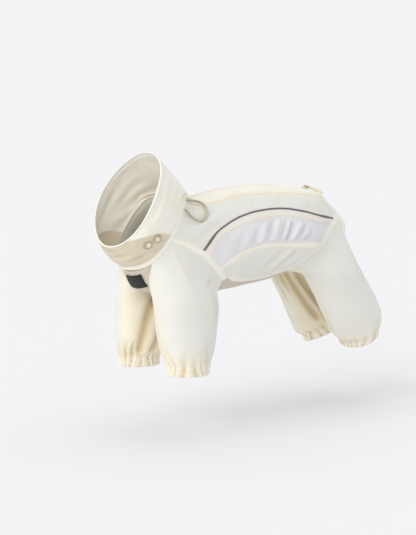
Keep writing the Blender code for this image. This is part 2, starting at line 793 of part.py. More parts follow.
def make_hood():
    """Two side panels, the seam tape between them, the throat collar and the rim binding."""
    bottom = [(0.0, p.turn) for p in neck]
    levels = neck_at[4] - neck_at[1]
    collar = [tuple(p) for p in through([bottom[neck_at[4]], *COLLAR_LINE, RIM_CORNER], levels)]
    first = bottom[neck_at[1]][1]
    rim = [(HOOD_EDGE, turn) for turn in np.linspace(first, RIM_CORNER[1], levels + 1)]
    spine = [(level, first) for level in np.linspace(0, HOOD_EDGE, levels + 1)]
    rows = patch(rim, bottom[neck_at[1] : neck_at[4] + 1], spine[::-1], collar[::-1])
    pair("hood_side", *on_hood(rows), SHELL)
    strip = [spine, [(level, -turn) for level, turn in spine]]
    wall("hood_seam_tape", *on_hood(strip), CREAM, **TAPE)
    throat_low = bottom[neck_at[4] :] + mirrored(bottom[-2 : neck_at[4] - 1 : -1])
    flank = collar[1:]
    steps = len(throat_low) - 2 * len(flank) + 2
    middle = [(HOOD_EDGE, turn) for turn in np.linspace(RIM_CORNER[1], 360 - RIM_CORNER[1], steps)]
    throat_top = flank + middle[1:-1] + mirrored(flank)[::-1]
    ends = [collar[1], tuple((np.array(collar[1]) + collar[0]) / 2), collar[0]]
    rows = patch(throat_top, throat_low, ends, mirrored(ends))
    wall("throat_collar", *on_hood(rows), CREAM)
    around = rim[:-1] + middle + mirrored(rim[:-1])[::-1]
    edge = [(1.0, turn) for _, turn in around]
    wall("hood_rim_binding", *on_hood([edge, around]), CREAM, closed=True, **TAPE)


def add_tube(name, route, diameter, finish):
    """A cord along a smooth route."""
    marks = np.array(route, float)
    run = np.concatenate([[0], np.cumsum(np.linalg.norm(np.diff(marks, axis=0), axis=1))])
    rows = np.column_stack([run, marks])
    curve = bpy.data.curves.new(name, "CURVE")
    curve.dimensions = "3D"
    curve.bevel_depth = diameter / 2 * MM
    curve.bevel_resolution = (CORD_SIDES - 4) // 2
    curve.use_fill_caps = True
    spline = curve.splines.new("POLY")
    steps = int(run[-1] / (CORD_STEP * diameter))
    spline.points.add(steps)
    for point, d in zip(spline.points, np.linspace(0, run[-1], steps + 1)):
        point.co = (*(row_at(rows, d)[1:] * MM), 1)
    add_data(name, curve, finish)


def finished(bm):
    """The mesh of a bmesh that was made in millimetres, with its faces outwards."""
    bmesh.ops.scale(bm, vec=(MM, MM, MM), verts=bm.verts)
    bmesh.ops.recalc_face_normals(bm, faces=bm.faces)
    mesh = bpy.data.meshes.new("piece")
    bm.to_mesh(mesh)
    bm.free()
    mesh.shade_smooth()
    mesh.set_sharp_from_angle(angle=SHARP)
    return mesh


def put(thing, centre, axes):
    """Place an object at a point in millimetres, with its X, Y and Z along the given axes."""
    turn = Matrix([[float(c) for c in axis] for axis in axes]).transposed()
    thing.matrix_world = Matrix.Translation(Vector([float(c) * MM for c in centre])) @ turn.to_4x4()


def add_snap(name, seat, normal):
    """A closed snap cap with a low dome, its back on the cloth."""
    bm = bmesh.new()
    bmesh.ops.create_cone(
        bm, cap_ends=True, segments=SNAP_SIDES, radius1=SNAP_RADIUS, radius2=SNAP_RADIUS, depth=SNAP_RIM
    )
    top = max(bm.faces, key=lambda face: face.calc_center_median().z)
    bmesh.ops.inset_region(bm, faces=[top], thickness=SNAP_RADIUS / 3, depth=SNAP_DOME)
    side = unit(np.cross(normal, (0.0, 0.0, 1.0)))
    cap = add_data(name, finished(bm), CREAM)
    put(cap, seat + normal * SNAP_RIM / 2, (side, np.cross(normal, side), normal))


def bridge_mesh():
    """The slider's arch, along the zip, with its feet sunk in the slider's body."""
    reach, bar, foot = BRIDGE_SPAN / 2, BRIDGE_BAR, -SLIDER[2] / 2
    low, high = BRIDGE_OPENING, BRIDGE_OPENING + BRIDGE_BAR
    outline = (
        (-reach, foot), (-reach, high), (reach, high), (reach, foot),
        (reach - bar, foot), (reach - bar, low), (bar - reach, low), (bar - reach, foot),
    )
    bm = bmesh.new()
    face = bm.faces.new([bm.verts.new((x, -BRIDGE_WIDTH / 2, z)) for x, z in outline])
    more = bmesh.ops.extrude_face_region(bm, geom=[face])["geom"]
    moved = [part for part in more if isinstance(part, bmesh.types.BMVert)]
    bmesh.ops.translate(bm, vec=(0, BRIDGE_WIDTH, 0), verts=moved)
    return finished(bm)


def stadium(low, high, half_width):
    """Points round a slot shape with round ends, from low to high along x."""
    points = []
    for k in range(PULL_SIDES):
        angle = 2 * math.pi * (k + 0.5) / PULL_SIDES
        centre = high - half_width if math.cos(angle) > 0 else low + half_width
        points.append((centre + half_width * math.cos(angle), half_width * math.sin(angle)))
    return points


def pull_mesh():
    """A flat tab with a slot for the slider's bridge. Its origin is the middle of its crossbar."""
    head = -PULL_CROSSBAR / 2
    outer = stadium(head, head + PULL_LENGTH, PULL_WIDTH / 2)
    inner = stadium(-head, PULL_SLOT[0], PULL_SLOT[1] / 2)
    bm = bmesh.new()
    rings = [
        [bm.verts.new((x, y, z)) for x, y in outline]
        for outline, z in (
            (outer, PULL_THICKNESS / 2), (inner, PULL_THICKNESS / 2),
            (inner, -PULL_THICKNESS / 2), (outer, -PULL_THICKNESS / 2),
        )
    ]
    for ring, following in zip(rings, rings[1:] + rings[:1]):
        for k in range(PULL_SIDES):
            n = (k + 1) % PULL_SIDES
            bm.faces.new((ring[k], ring[n], following[n], following[k]))
    return finished(bm)


def make_zip_slider():
    """Slider with its bridge, on the zip chain, and the pull that swings in the bridge."""
    along = unit(body_point((SLIDER_BACK + 3, 0)) - body_point((SLIDER_BACK - 3, 0)))
    across = np.array([0.0, 1.0, 0.0])
    up = np.cross(along, across)
    top = body_point((SLIDER_BACK, 0)) + up * (WALL / 2 + CHAIN_RISE + SEAM_GAP + SLIDER[2])
    bm = bmesh.new()
    bmesh.ops.create_cube(bm, size=1.0, matrix=Matrix.Diagonal((*SLIDER, 1.0)))
    slider = add_data("zip_slider", finished(bm), STEEL)
    put(slider, top - up * SLIDER[2] / 2, (along, across, up))
    edge = slider.modifiers.new("edge", "BEVEL")
    edge.width = SLIDER_EDGE * MM
    edge.segments = 1
    bridge = add_data("bridge", bridge_mesh(), STEEL)
    put(bridge, top, (along, across, up))
    bridge.hide_render = True
    bridge.display_type = "WIRE"
    join = slider.modifiers.new("bridge", "BOOLEAN")
    join.operation = "UNION"
    join.object = bridge
    tilt = math.radians(PULL_TILT)
    way = np.array([math.cos(tilt), 0.0, -math.sin(tilt)])
    pull = add_data("zip_pull", pull_mesh(), CREAM)
    put(pull, top + up * BRIDGE_OPENING / 2, (way, across, np.cross(way, across)))


def make_trim():
    """Label, snaps and nape cord."""
    backs = np.linspace(*LABEL_BACKS, LABEL_COUNTS[0] + 1)
    turns = np.linspace(*LABEL_TURNS, LABEL_COUNTS[1] + 1)
    rows = [[Place(back, turn) for turn in turns] for back in backs]
    wall("chest_label", *on_body(rows), BLACK, outer=LABEL_LIFT[1], inner=-LABEL_LIFT[0])
    for number, (level, turn) in enumerate(SNAPS):
        for suffix, spot in (("left", (level, turn)), ("right", (level, 360 - turn))):
            normal = hood_normal(spot)
            add_snap(f"snap_{number + 1}_{suffix}", hood_point(spot) + normal * (WALL / 2 + SNAP_GAP), normal)
    route = [body_point(row[:2]) + body_normal(row[:2]) * row[2] for row in CORD_ROUTE]
    add_tube("nape_cord", route, CORD_DIAMETER, BRAID)


def main():
    """Clear the scene and build every piece."""
    for thing in list(bpy.data.objects):
        bpy.data.objects.remove(thing, do_unlink=True)
    make_back()
    make_side()
    make_underside()
    make_tapes()
    make_legs()
    make_hood()
    make_zip_slider()
    make_trim()


main()
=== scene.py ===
"""Dog bodysuit with a raised hood: the dressed garment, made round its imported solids.

+Z up, head to -X, wearer's left to -Y, origin at the withers. Tables are in millimetres and
degrees, meshes in metres. A place on the body is (back, turn): back runs along the spine from
the withers, turn from 0 at the spine over the left side to 180 at the belly. A place on the hood
is (level, turn), from 0 at the neck seam to 1 at the face opening. A place on a sleeve or leg is
(angle, height): 0 at the tail side, 90 outside, 180 at the head side.
"""

import logging
import math
from collections.abc import Callable, Iterable, Sequence
from dataclasses import dataclass, field
from enum import Enum
from typing import Any, ClassVar, NamedTuple

import bmesh
import bpy
import numpy as np
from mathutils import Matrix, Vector, noise

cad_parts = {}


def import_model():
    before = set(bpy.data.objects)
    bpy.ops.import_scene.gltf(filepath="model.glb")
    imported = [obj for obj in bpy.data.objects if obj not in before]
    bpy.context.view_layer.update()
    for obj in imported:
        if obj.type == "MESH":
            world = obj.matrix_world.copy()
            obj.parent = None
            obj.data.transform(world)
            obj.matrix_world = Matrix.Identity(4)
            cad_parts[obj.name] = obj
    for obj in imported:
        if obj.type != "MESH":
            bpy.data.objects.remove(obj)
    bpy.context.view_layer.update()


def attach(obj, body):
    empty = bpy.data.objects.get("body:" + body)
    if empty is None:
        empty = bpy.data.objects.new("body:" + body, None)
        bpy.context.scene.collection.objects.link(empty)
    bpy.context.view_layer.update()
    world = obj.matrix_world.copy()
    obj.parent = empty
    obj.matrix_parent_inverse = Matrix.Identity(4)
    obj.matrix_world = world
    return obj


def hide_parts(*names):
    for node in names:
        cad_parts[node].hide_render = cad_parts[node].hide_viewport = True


LOG = logging.getLogger("bodysuit")
Array = np.ndarray
Colour = tuple[int, int, int]
MM = 0.001
MM_PER_DEGREE = 1.1  # girth of one degree of turn on the body
GAMMA = 2.2
UV_NAME = "Cloth"
# Vertex attributes for the shaders: the first paints shade in folds, grooves, gather valleys and along edges
# of hard pieces, and below 0 a highlight on ridges; the second mixes in the cream colour, partly the cloth's
# own tone and partly painted yellowish shade.
PAINTED_SHADE_NAME = "crease"
CREAM_AND_SHADE_NAME = "cream_and_warm_shade"
FULL_TURN = 360.0
RING_COLUMNS = 240
THREAD_LIFT = 1.35  # stitches on a rolled binding


class Slot(Enum):
    """The material slots."""

    SHELL = "shell_cloth"
    TAPE = "cream_tape"
    COLLAR = "collar_cloth"
    MESH = "mesh_cloth"
    MESH_EDGE = "mesh_edge"
    UNDERSIDE = "underside_cloth"
    PIPING = "piping_cord"
    ZIP = "zip_teeth"
    LABEL = "label_patch"
    BRAID = "nape_braid"
    SNAP = "snap_cap"
    METAL = "slider_metal"
    PULL = "pull_tab"


class Held(Enum):
    """How a sheet of cloth is held."""

    DRAPED = "draped"
    HUNG = "hung"
    GATHERED = "gathered"
    FOLDED = "folded"
    STRETCHED = "stretched"


class Side(Enum):
    """The wearer's side that a piece is on."""

    LEFT = "left"
    RIGHT = "right"

    @property
    def mirror(self) -> bool:
        """Whether its pieces are mirrored."""
        return self is Side.RIGHT

    @property
    def flip(self) -> tuple[int, int, int]:
        """Factors that put left points on this side."""
        return (1, -1 if self.mirror else 1, 1)


class Weave(Enum):
    """The surface that a cloth shows close up."""

    PLAIN = "plain"
    RIB = "rib"
    MESH = "mesh"
    PINHOLE = "pinhole"
    KNIT = "knit"
    BRAID = "braid"


# Curves and grids


def unit(vectors: Array) -> Array:
    """Vectors along the last axis, each made one long."""
    return vectors / np.maximum(np.linalg.norm(vectors, axis=-1, keepdims=True), 1e-9)


def smoothstep(values: Array) -> Array:
    """Values clipped to 0 to 1 and eased at both ends."""
    t = np.clip(values, 0, 1)
    return t * t * (3 - 2 * t)


def smooth_rows(rows: Any, keys: Any) -> Array:
    """Read a table at any keys, on a smooth curve through its rows.

    Args:
        rows: The table, its first column rising.
        keys: Where to read it, in any shape.

    Returns:
        One row of the table for each key.
    """
    table = np.asarray(rows, float)
    marks, last = table[:, 0], len(table) - 1
    keys = np.asarray(keys, float)
    index = np.arange(last + 1)
    low, high = np.maximum(index - 1, 0), np.minimum(index + 1, last)
    slopes = (table[high] - table[low]) / (marks[high] - marks[low])[:, None]
    i = np.clip(np.searchsorted(marks, keys) - 1, 0, last - 1)
    span = (marks[i + 1] - marks[i])[..., None]
    t = (keys - marks[i])[..., None] / span
    start = (2 * t**3 - 3 * t**2 + 1) * table[i] + (t**3 - 2 * t**2 + t) * span * slopes[i]
    end = (3 * t**2 - 2 * t**3) * table[i + 1] + (t**3 - t**2) * span * slopes[i + 1]
    return start + end


def arc(points: Array, axis: int) -> Array:
    """Millimetres along one axis of a grid of points."""
    steps = np.linalg.norm(np.diff(points, axis=axis), axis=-1)
    start = np.zeros_like(np.take(steps, [0], axis=axis))
    return np.concatenate([start, np.cumsum(steps, axis=axis)], axis=axis)


def smooth_line(points: Array, count: int, *carried: Array) -> Array:
    """Points at even steps along a smooth curve through a few, with values that they carry."""
    rows = np.column_stack([arc(points[None], 1)[0], points, *carried])
    return smooth_rows(rows, np.linspace(0, rows[-1, 0], count))[:, 1:]


def circle(count: int) -> Array:
    """Angles in radians at even steps all round."""
    return 2 * np.pi * np.arange(count) / count


def half_round(shares: Array) -> Array:
    """Height of a half round at shares across it."""
    return np.sqrt(np.clip(1 - (2 * shares - 1) ** 2, 0, 1))


def even(count: int, margin: float = 0.0) -> Array:
    """Shares from 0 to 1 in even steps, with closer steps within margin of both ends."""
    if not margin:
        return np.linspace(0, 1, count + 1)
    edge = np.array([0, 0.3, 0.65])
    middle = np.linspace(margin, 1 - margin, count + 1)
    return np.concatenate([edge * margin, middle, 1 - edge[::-1] * margin])


def ring_points(rows: Array, turn: Array) -> Array:
    """Points of oval rings that hang from their top to their low point.

    Args:
        rows: Top x and z, low x and z, half width, side back and low width.
        turn: Degrees from the top over the wearer's left side.

    Returns:
        Points in millimetres.
    """
    angle = np.radians(turn)
    fall = (1 - np.cos(angle)) / 2
    x = rows[..., 0] + (rows[..., 2] - rows[..., 0]) * fall + rows[..., 5] * np.sin(angle) ** 4
    y = -rows[..., 4] * np.sin(angle) * (1 + rows[..., 6] * fall * fall)
    z = rows[..., 1] + (rows[..., 3] - rows[..., 1]) * fall
    return np.stack([x, y, z], -1)


def surface_normals(points_of: Callable[[Array], Array], places: Array, steps: tuple[float, float]) -> Array:
    """Normals of a surface, from small steps on both of its coordinates.

    Args:
        points_of: The surface's points at places.
        places: Where, with the coordinates along the last axis.
        steps: The step on each coordinate.

    Returns:
        Unit normals, outward where the first coordinate runs to the tail.
    """
    first, second = np.array([steps[0], 0.0]), np.array([0.0, steps[1]])
    along = points_of(places + first) - points_of(places - first)
    around = points_of(places + second) - points_of(places - second)
    return unit(np.cross(around, along))


def left_turn(turn: Array) -> Array:
    """The turn of the same place on the left side."""
    near = np.asarray(turn, float) % FULL_TURN
    return np.where(near > 180, FULL_TURN - near, near)


# Forms


class BodyForm:
    """The worn body as one tube."""

    # back, top x and z, belly x and z, half width, side back, low width
    SECTIONS = (
        (-30, -20, 18, -124, -72, 49, -6, 0), (0, 0, 0, -100, -93, 52, -8, 0),
        (30, 29, 5.5, -84, -118, 58, -4, 0), (60, 59, 10.5, -48, -131, 63, 0, 0),
        (105, 105, 15.2, 8, -134, 66, 0, 0), (150, 150, 16.2, 62, -129, 67, 0, 0),
        (195, 195, 14.4, 108, -124, 65, 0, 0.06), (235, 235, 9.0, 146, -118, 57, 14, 0.2),
        (268, 266, 2.0, 176, -112, 29, 66, 0.5),
    )

    def points(self, places: Array) -> Array:
        """Points of the surface at places."""
        return ring_points(smooth_rows(self.SECTIONS, places[..., 0])[..., 1:], places[..., 1])

    def normals(self, places: Array) -> Array:
        """Outward normals at places."""
        return surface_normals(self.points, places, (1.0, 1.0))


class HoodForm:
    """The raised hood, from the neck tape to the face opening."""

    # level, top x and z, chin x and z, half width, side back, low width
    RINGS = (
        (0.0, -5, 3, -105, -88, 52, -8, 0), (0.15, -11, 10, -113, -84, 55, -8, 0),
        (0.4, -27, 25, -121, -77, 58, -8, 0), (0.7, -47, 43, -126, -69, 60, -6, 0),
        (1.0, -68, 60, -129, -61, 58, -4, 0),
    )

    def __init__(self, body: BodyForm, neck_stops: Sequence[tuple[float, float]], tape: float) -> None:
        """Keep what the hood starts from.

        Args:
            body: The body whose neck it meets.
            neck_stops: The neck seam as (turn, back).
            tape: Width of the neck tape between body and hood.
        """
        self.body, self.neck_stops, self.tape = body, neck_stops, tape

    def neck_edge(self, turn: Array) -> Array:
        """Places on the body where the neck tape ends and the hood begins."""
        back = smooth_rows(self.neck_stops, left_turn(turn))[..., 1] - self.tape
        return np.stack([back, np.broadcast_to(turn, back.shape)], -1)

    def points(self, places: Array) -> Array:
        """Points of the hood at (level, turn)."""
        level, turn = places[..., 0], places[..., 1]
        ring = ring_points(smooth_rows(self.RINGS, level)[..., 1:], turn)
        first = np.broadcast_to(np.array(self.RINGS[0][1:], float), (*turn.shape, len(self.RINGS[0]) - 1))
        joined = self.body.points(self.neck_edge(turn)) - ring_points(first, turn)
        return ring + joined * (np.maximum(1 - level, 0) ** 2)[..., None]

    def normals(self, places: Array) -> Array:
        """Outward normals at (level, turn)."""
        return -surface_normals(self.points, places, (0.02, 1.0))


class Seam:
    """A line on the body or hood, as places close together."""

    STEPS = 241
    RING_STEPS = 121
    EASE = 14.0  # millimetres

    def __init__(self, places: Any) -> None:
        """Keep the places."""
        self.places = np.asarray(places, float)

    @classmethod
    def through(cls, places: Sequence[Any]) -> "Seam":
        """A smooth line through a few places."""
        marks = np.array([tuple(p) for p in places], float)
        rows = np.column_stack([cls(marks).run(), marks])
        return cls(smooth_rows(rows, np.linspace(0, rows[-1, 0], cls.STEPS))[:, 1:])

    @classmethod
    def ring(cls, stops: Sequence[tuple[float, float]], first: float, last: float) -> "Seam":
        """A stretch of a ring seam between two turns, given its stops as (turn, back)."""
        turns = np.linspace(first, last, cls.RING_STEPS)
        return cls(np.stack([smooth_rows(stops, left_turn(turns))[..., 1], turns], -1))

    def run(self) -> Array:
        """Millimetres along the line at each place."""
        steps = np.hypot(np.diff(self.places[:, 0]), np.diff(self.places[:, 1]) * MM_PER_DEGREE)
        return np.concatenate([[0], np.cumsum(steps)])

    def at(self, shares: Any) -> Array:
        """Places at shares of the line's length."""
        run = self.run()
        where = np.asarray(shares, float) * run[-1]
        return np.stack([np.interp(where, run, self.places[:, k]) for k in (0, 1)], -1)

    def shifted(self, distance: float) -> "Seam":
        """The line moved sideways, towards a greater turn where it runs to the tail."""
        marks = self.places * (1, MM_PER_DEGREE)
        tangent = unit(np.gradient(marks, axis=0))
        side = np.column_stack([-tangent[:, 1], tangent[:, 0]])
        return Seam((marks + side * distance) / (1, MM_PER_DEGREE))

    def eased(self, first: Any = None, last: Any = None) -> "Seam":
        """The line with its ends drawn softly to the places given."""
        places, run = self.places.copy(), self.run()
        if first is not None:
            places += (np.asarray(first) - self.places[0]) * (1 - smoothstep(run / self.EASE))[:, None]
        if last is not None:
            back = (run[-1] - run) / self.EASE
            places += (np.asarray(last) - self.places[-1]) * (1 - smoothstep(back))[:, None]
        return Seam(places)

    def mirrored(self) -> "Seam":
        """The same line on the other side."""
        return Seam(np.column_stack([self.places[:, 0], FULL_TURN - self.places[:, 1]]))

    def reversed(self) -> "Seam":
        """The same line from its other end."""
        return Seam(self.places[::-1])

    def __add__(self, other: "Seam") -> "Seam":
        """This line and then the other."""
        return Seam(np.concatenate([self.places, other.places]))


def coons(top: Seam, bottom: Seam, front: Seam, rear: Seam, u: Array, v: Array) -> Array:
    """Fill a field of places inside four lines.

    Args:
        top: The upper line, from front to rear.
        bottom: The lower line.
        front: The front line, from top to bottom.
        rear: The rear line.
        u: Shares of the columns, from front to rear.
        v: Shares of the rows, from top to bottom.

    Returns:
        Places in rows and columns.
    """
    upper, lower = top.at(u)[None], bottom.at(u)[None]
    ahead, behind = front.at(v)[:, None], rear.at(v)[:, None]
    uu, vv = u[None, :, None], v[:, None, None]
    corners = (1 - uu) * ((1 - vv) * upper[:, :1] + vv * lower[:, :1])
    corners = corners + uu * ((1 - vv) * upper[:, -1:] + vv * lower[:, -1:])
    return (1 - vv) * upper + vv * lower + (1 - uu) * ahead + uu * behind - corners


def ruled(first: Seam, second: Seam, u: Array, v: Array) -> Array:
    """Places on straight lines from one seam to another: rows go across, columns along."""
    return (1 - v)[:, None, None] * first.at(u)[None] + v[:, None, None] * second.at(u)[None]


class Pattern:
    """The garment's forms and all of its seams on the left side."""

    NECK = (
        (0, 0), (28, -9), (50, -19), (66, -14), (84, -6), (100, -1), (120, 2), (138, 3), (180, 0),
    )  # turn, back
    REAR = ((0, 258), (32, 252), (50, 257), (75, 261), (120, 263), (180, 263))
    NECK_TURNS = (0, 2.4, 10, 46, 96, 102, 138, 180)
    REAR_TURNS = (0, 3.6, 15, 32, 60, 67, 156, 180)
    CHAIN = ((60, 2.0), (120, 1.9), (190, 2.0))
    ZIP = ((60, 8.2), (120, 7.8), (190, 8.2))
    BAND = ((25, 38), (50, 35), (82, 31.5), (148, 34.5), (190, 35.5), (218, 33))
    PIPING = ((49, 78), (61, 67.5), (78, 61), (102, 57), (143, 56), (192, 60.5), (222, 65))
    MESH = ((56, 86), (69, 76), (92, 69), (122, 65.5), (168, 67), (215, 73))
    MID = ((105, 102), (140, 97), (186, 100))
    BELLY = ((130, 140), (160, 146), (200, 147))
    RAGLAN = ((-1, 99), (21, 96), (46, 101), (66, 110), (90, 122), (108, 133))
    HIP = ((259, 63.5), (251, 72), (245, 84), (244, 100), (245, 114), (241, 129), (231, 141))
    CHEST = ((10, 145), (25, 156), (39, 163))
    CHEST_CORNER = (48, 165)
    ARMPIT = ((65, 162), (85, 154))
    GROIN = ((246, 149),)
    RAGLAN_STOPS = (0, 0.385, 0.41, 0.51, 0.75, 0.795, 0.96, 1)
    HIP_STOPS = (0, 0.13, 0.16, 0.24, 0.53, 0.585, 0.95, 1)
    RAGLAN_TAPE = 6.0
    HIP_TAPE = 6.4
    MID_TAPE = 5.4
    BELLY_TAPE = 4.6
    PIPING_WIDTH = 2.4
    NECK_TAPE = 6.0
    REAR_BINDING = 5.0
    COLLAR = ((0.25, 104), (0.6, 124))
    HOOD_EDGE = 0.94
    RIM_CORNER = (0.94, 150)

    def __init__(self) -> None:
        """Draw every seam."""
        self.body = BodyForm()
        self.hood = HoodForm(self.body, self.NECK, self.NECK_TAPE)
        neck, rear = self.neck, self.rear
        raglan = Seam.through(self.RAGLAN)
        self.raglan_back = raglan.shifted(-self.RAGLAN_TAPE / 2).eased(first=neck(4, 4).places[0])
        self.raglan_front = raglan.shifted(self.RAGLAN_TAPE / 2).eased(first=neck(5, 5).places[0])
        hip = Seam.through(self.HIP)
        self.hip_front = hip.shifted(self.HIP_TAPE / 2).eased(first=rear(4, 4).places[0])
        self.hip_back = hip.shifted(-self.HIP_TAPE / 2).eased(first=rear(5, 5).places[0])
        self.chain = Seam.through([neck(1, 1).places[0], *self.CHAIN, rear(1, 1).places[0]])
        self.zip = Seam.through([neck(2, 2).places[0], *self.ZIP, rear(2, 2).places[0]])
        self.band = Seam.through([neck(3, 3).places[0], *self.BAND, rear(3, 3).places[0]])
        self.piping_top = self.side_line(1, self.PIPING, -self.PIPING_WIDTH / 2)
        self.piping_low = self.side_line(2, self.PIPING, self.PIPING_WIDTH / 2)
        self.mesh_top = self.side_line(3, self.MESH)
        self.mid_top = self.side_line(4, self.MID, -self.MID_TAPE / 2)
        self.mid_low = self.side_line(5, self.MID, self.MID_TAPE / 2)
        self.belly_top = self.side_line(6, self.BELLY, -self.BELLY_TAPE)
        self.belly_low = self.side_line(7, self.BELLY)
        self.chest = Seam.through([neck(6, 6).places[0], *self.CHEST, self.CHEST_CORNER])
        self.armpit = Seam.through([self.CHEST_CORNER, *self.ARMPIT, self.raglan_front.places[-1]])
        self.groin = Seam.through([self.hip_back.places[-1], *self.GROIN, rear(6, 6).places[0]])
        self.collar = Seam.through([(0, self.NECK_TURNS[4]), *self.COLLAR, self.RIM_CORNER])

    def neck(self, first: int, last: int) -> Seam:
        """The neck seam between two of its corners."""
        return Seam.ring(self.NECK, self.NECK_TURNS[first], self.NECK_TURNS[last])

    def rear(self, first: int, last: int) -> Seam:
        """The rear seam between two of its corners."""
        return Seam.ring(self.REAR, self.REAR_TURNS[first], self.REAR_TURNS[last])

    def ring_places(self, stops: Sequence[tuple[float, float]], first: float, last: float,
                    shares: Array) -> Array:
        """Places on a ring seam at shares of the way from one turn to another."""
        turns = first + (last - first) * shares
        return np.stack([smooth_rows(stops, turns)[:, 1], turns], -1)

    def side_line(self, stop: int, line: Sequence[tuple[float, float]], shift: float = 0.0) -> Seam:
        """A line along the side from the raglan seam to the hip seam.

        Args:
            stop: Which of the seams' stops it runs between.
            line: Places on the way.
            shift: Millimetres to move it sideways.

        Returns:
            The line.
        """
        start = self.raglan_back.at(self.RAGLAN_STOPS[stop])
        end = self.hip_front.at(self.HIP_STOPS[stop])
        return Seam.through([start, *line, end]).shifted(shift).eased(start, end)

    def raglan_part(self, first: int, last: int) -> Seam:
        """The raglan seam's rear edge between two stops."""
        stops = self.RAGLAN_STOPS
        return Seam(self.raglan_back.at(np.linspace(stops[first], stops[last], 60)))

    def hip_part(self, first: int, last: int) -> Seam:
        """The hip seam's front edge between two stops."""
        stops = self.HIP_STOPS
        return Seam(self.hip_front.at(np.linspace(stops[first], stops[last], 60)))

    def collar_turn(self, level: Array) -> Array:
        """The turn at which the throat collar begins."""
        places = self.collar.places
        return np.interp(level, places[:, 0], places[:, 1])


# Folds


class Crease(NamedTuple):
    """A soft fold on a surface: a trough, or a ridge where its depth is negative."""

    path: tuple[tuple[float, float], ...]
    half_width: float
    depth: float
    rim: float = 0.3
    fade: tuple[float, float] = (0.45, 0.45)

    def mirrored(self) -> "Crease":
        """The same fold on the other side of the body."""
        return self._replace(path=tuple((back, FULL_TURN - turn) for back, turn in self.path))


def press(creases: Iterable[Crease], first: Array, second: Array, scale: tuple[float, float],
          wrap: bool = False) -> tuple[Array, Array]:
    """Work out how far creases move each point of a surface.

    Args:
        creases: The folds, on the surface's two coordinates.
        first: The first coordinate at each point.
        second: The second coordinate at each point.
        scale: Millimetres for one unit of each coordinate.
        wrap: Whether the first coordinate is an angle that comes round.

    Returns:
        Millimetres outwards, and the painted shade of each point, from -1 for a painted highlight on a ridge
        to 1 in a fold.
    """
    offset, mark, ridge = np.zeros(first.shape), np.zeros(first.shape), np.zeros(first.shape)
    for crease in creases:
        line = smooth_line(np.array(crease.path, float) * scale, 17)
        for turn in (-FULL_TURN, 0.0, FULL_TURN) if wrap else (0.0,):
            here = np.stack([(first + turn) * scale[0], second * scale[1]], -1)
            nearest, side, share = (np.full(first.shape, start) for start in (1e9, 0.0, 0.0))
            for k, (a, b) in enumerate(zip(line, line[1:])):
                way = b - a
                t = np.clip(((here - a) @ way) / (way @ way), 0, 1)
                gap = here - a - t[..., None] * way
                distance = np.linalg.norm(gap, axis=-1)
                closer = distance < nearest
                nearest = np.where(closer, distance, nearest)
                side = np.where(closer, np.sign(way[0] * gap[..., 1] - way[1] * gap[..., 0]) * distance, side)
                share = np.where(closer, (k + t) / (len(line) - 1), share)
            taper = smoothstep(share / crease.fade[0]) * smoothstep((1 - share) / crease.fade[1])
            width = crease.half_width * (0.6 + 0.4 * taper)
            trough = np.exp(-((nearest / width) ** 2))
            shoulder = np.exp(-(((side - 1.7 * width) / (1.1 * width)) ** 2)) * (nearest < 6 * width)
            offset += taper * crease.depth * (crease.rim * shoulder - trough)
            # How strongly the fold shows: painted shade in a trough, painted highlight on a ridge.
            seen = taper * trough * smoothstep((abs(crease.depth) / crease.half_width - 0.08) / 0.6)
            if crease.depth > 0:
                mark = np.maximum(mark, seen)
            else:
                ridge = np.maximum(ridge, seen)
    return offset, mark - ridge * (1 - mark)


def waves(points: Array, height: float, size: float, seed: float) -> Array:
    """Slow unevenness of worn cloth.

    Args:
        points: Points in millimetres.
        height: Its greatest height in millimetres.
        size: The breadth of one wave in millimetres.
        seed: Which of many such surfaces.

    Returns:
        Millimetres outwards at each point.
    """
    flat = points.reshape(-1, 3) / size + seed
    values = [noise.noise(Vector(p)) + 0.35 * noise.noise(Vector(p * 2.3)) for p in flat]
    return np.array(values).reshape(points.shape[:-1]) * height


# Meshes


def linked(name: str, data: Any) -> bpy.types.Object:
    """A new object in the scene."""
    thing = bpy.data.objects.new(name, data)
    bpy.context.scene.collection.objects.link(thing)
    return thing


def make_object(name: str, points: Array, faces: Any, uv: Array | None, marks: dict[str, Array],
                sharp: float = 50.0) -> bpy.types.Object:
    """A mesh object from points in millimetres.

    Args:
        name: The piece's name.
        points: Its vertices.
        faces: Its faces, each as vertex numbers that run round it seen from outside.
        uv: UV in metres for each corner of each face, in turn.
        marks: Numbers for each vertex, by attribute name.
        sharp: Degrees between faces past which an edge looks sharp.

    Returns:
        The object, at the origin.
    """
    mesh = bpy.data.meshes.new(name)
    mesh.from_pydata((points * MM).tolist(), [], faces if isinstance(faces, list) else faces.tolist())
    if uv is not None:
        mesh.uv_layers.new(name=UV_NAME).data.foreach_set("uv", np.ascontiguousarray(uv, np.float32).ravel())
    for label, values in marks.items():
        layer = mesh.attributes.new(label, "FLOAT", "POINT")
        layer.data.foreach_set("value", np.ascontiguousarray(values, np.float32).ravel())
    mesh.shade_smooth()
    mesh.set_sharp_from_angle(angle=math.radians(sharp))
    return linked(name, mesh)


def edge_gap(points: Array, axes: Sequence[int] = (0,)) -> Array:
    """Millimetres from the nearest end of a grid of points, along the axes given."""
    runs = [(arc(points, axis), axis) for axis in axes]
    return np.minimum.reduce([np.minimum(run, np.take(run, [-1], axis) - run) for run, axis in runs])


def grid_faces(rows: int, columns: int, closed: bool) -> Array:
    """Corner numbers of a grid's cells, row by row."""
    j = np.arange(rows - 1)[:, None] * columns
    i = np.arange(columns if closed else columns - 1)[None, :]
    n = (i + 1) % columns
    return np.stack([j + i, j + n, j + columns + n, j + columns + i], -1).reshape(-1, 4)


def end_fans(count: int, sides: int) -> list[list[int]]:
    """Triangles from a tube's two end points, numbered after its rings, to the first and last ring."""
    tip, last = count * sides, (count - 1) * sides
    fans = [[tip, (k + 1) % sides, k] for k in range(sides)]
    return fans + [[tip + 1, last + k, last + (k + 1) % sides] for k in range(sides)]


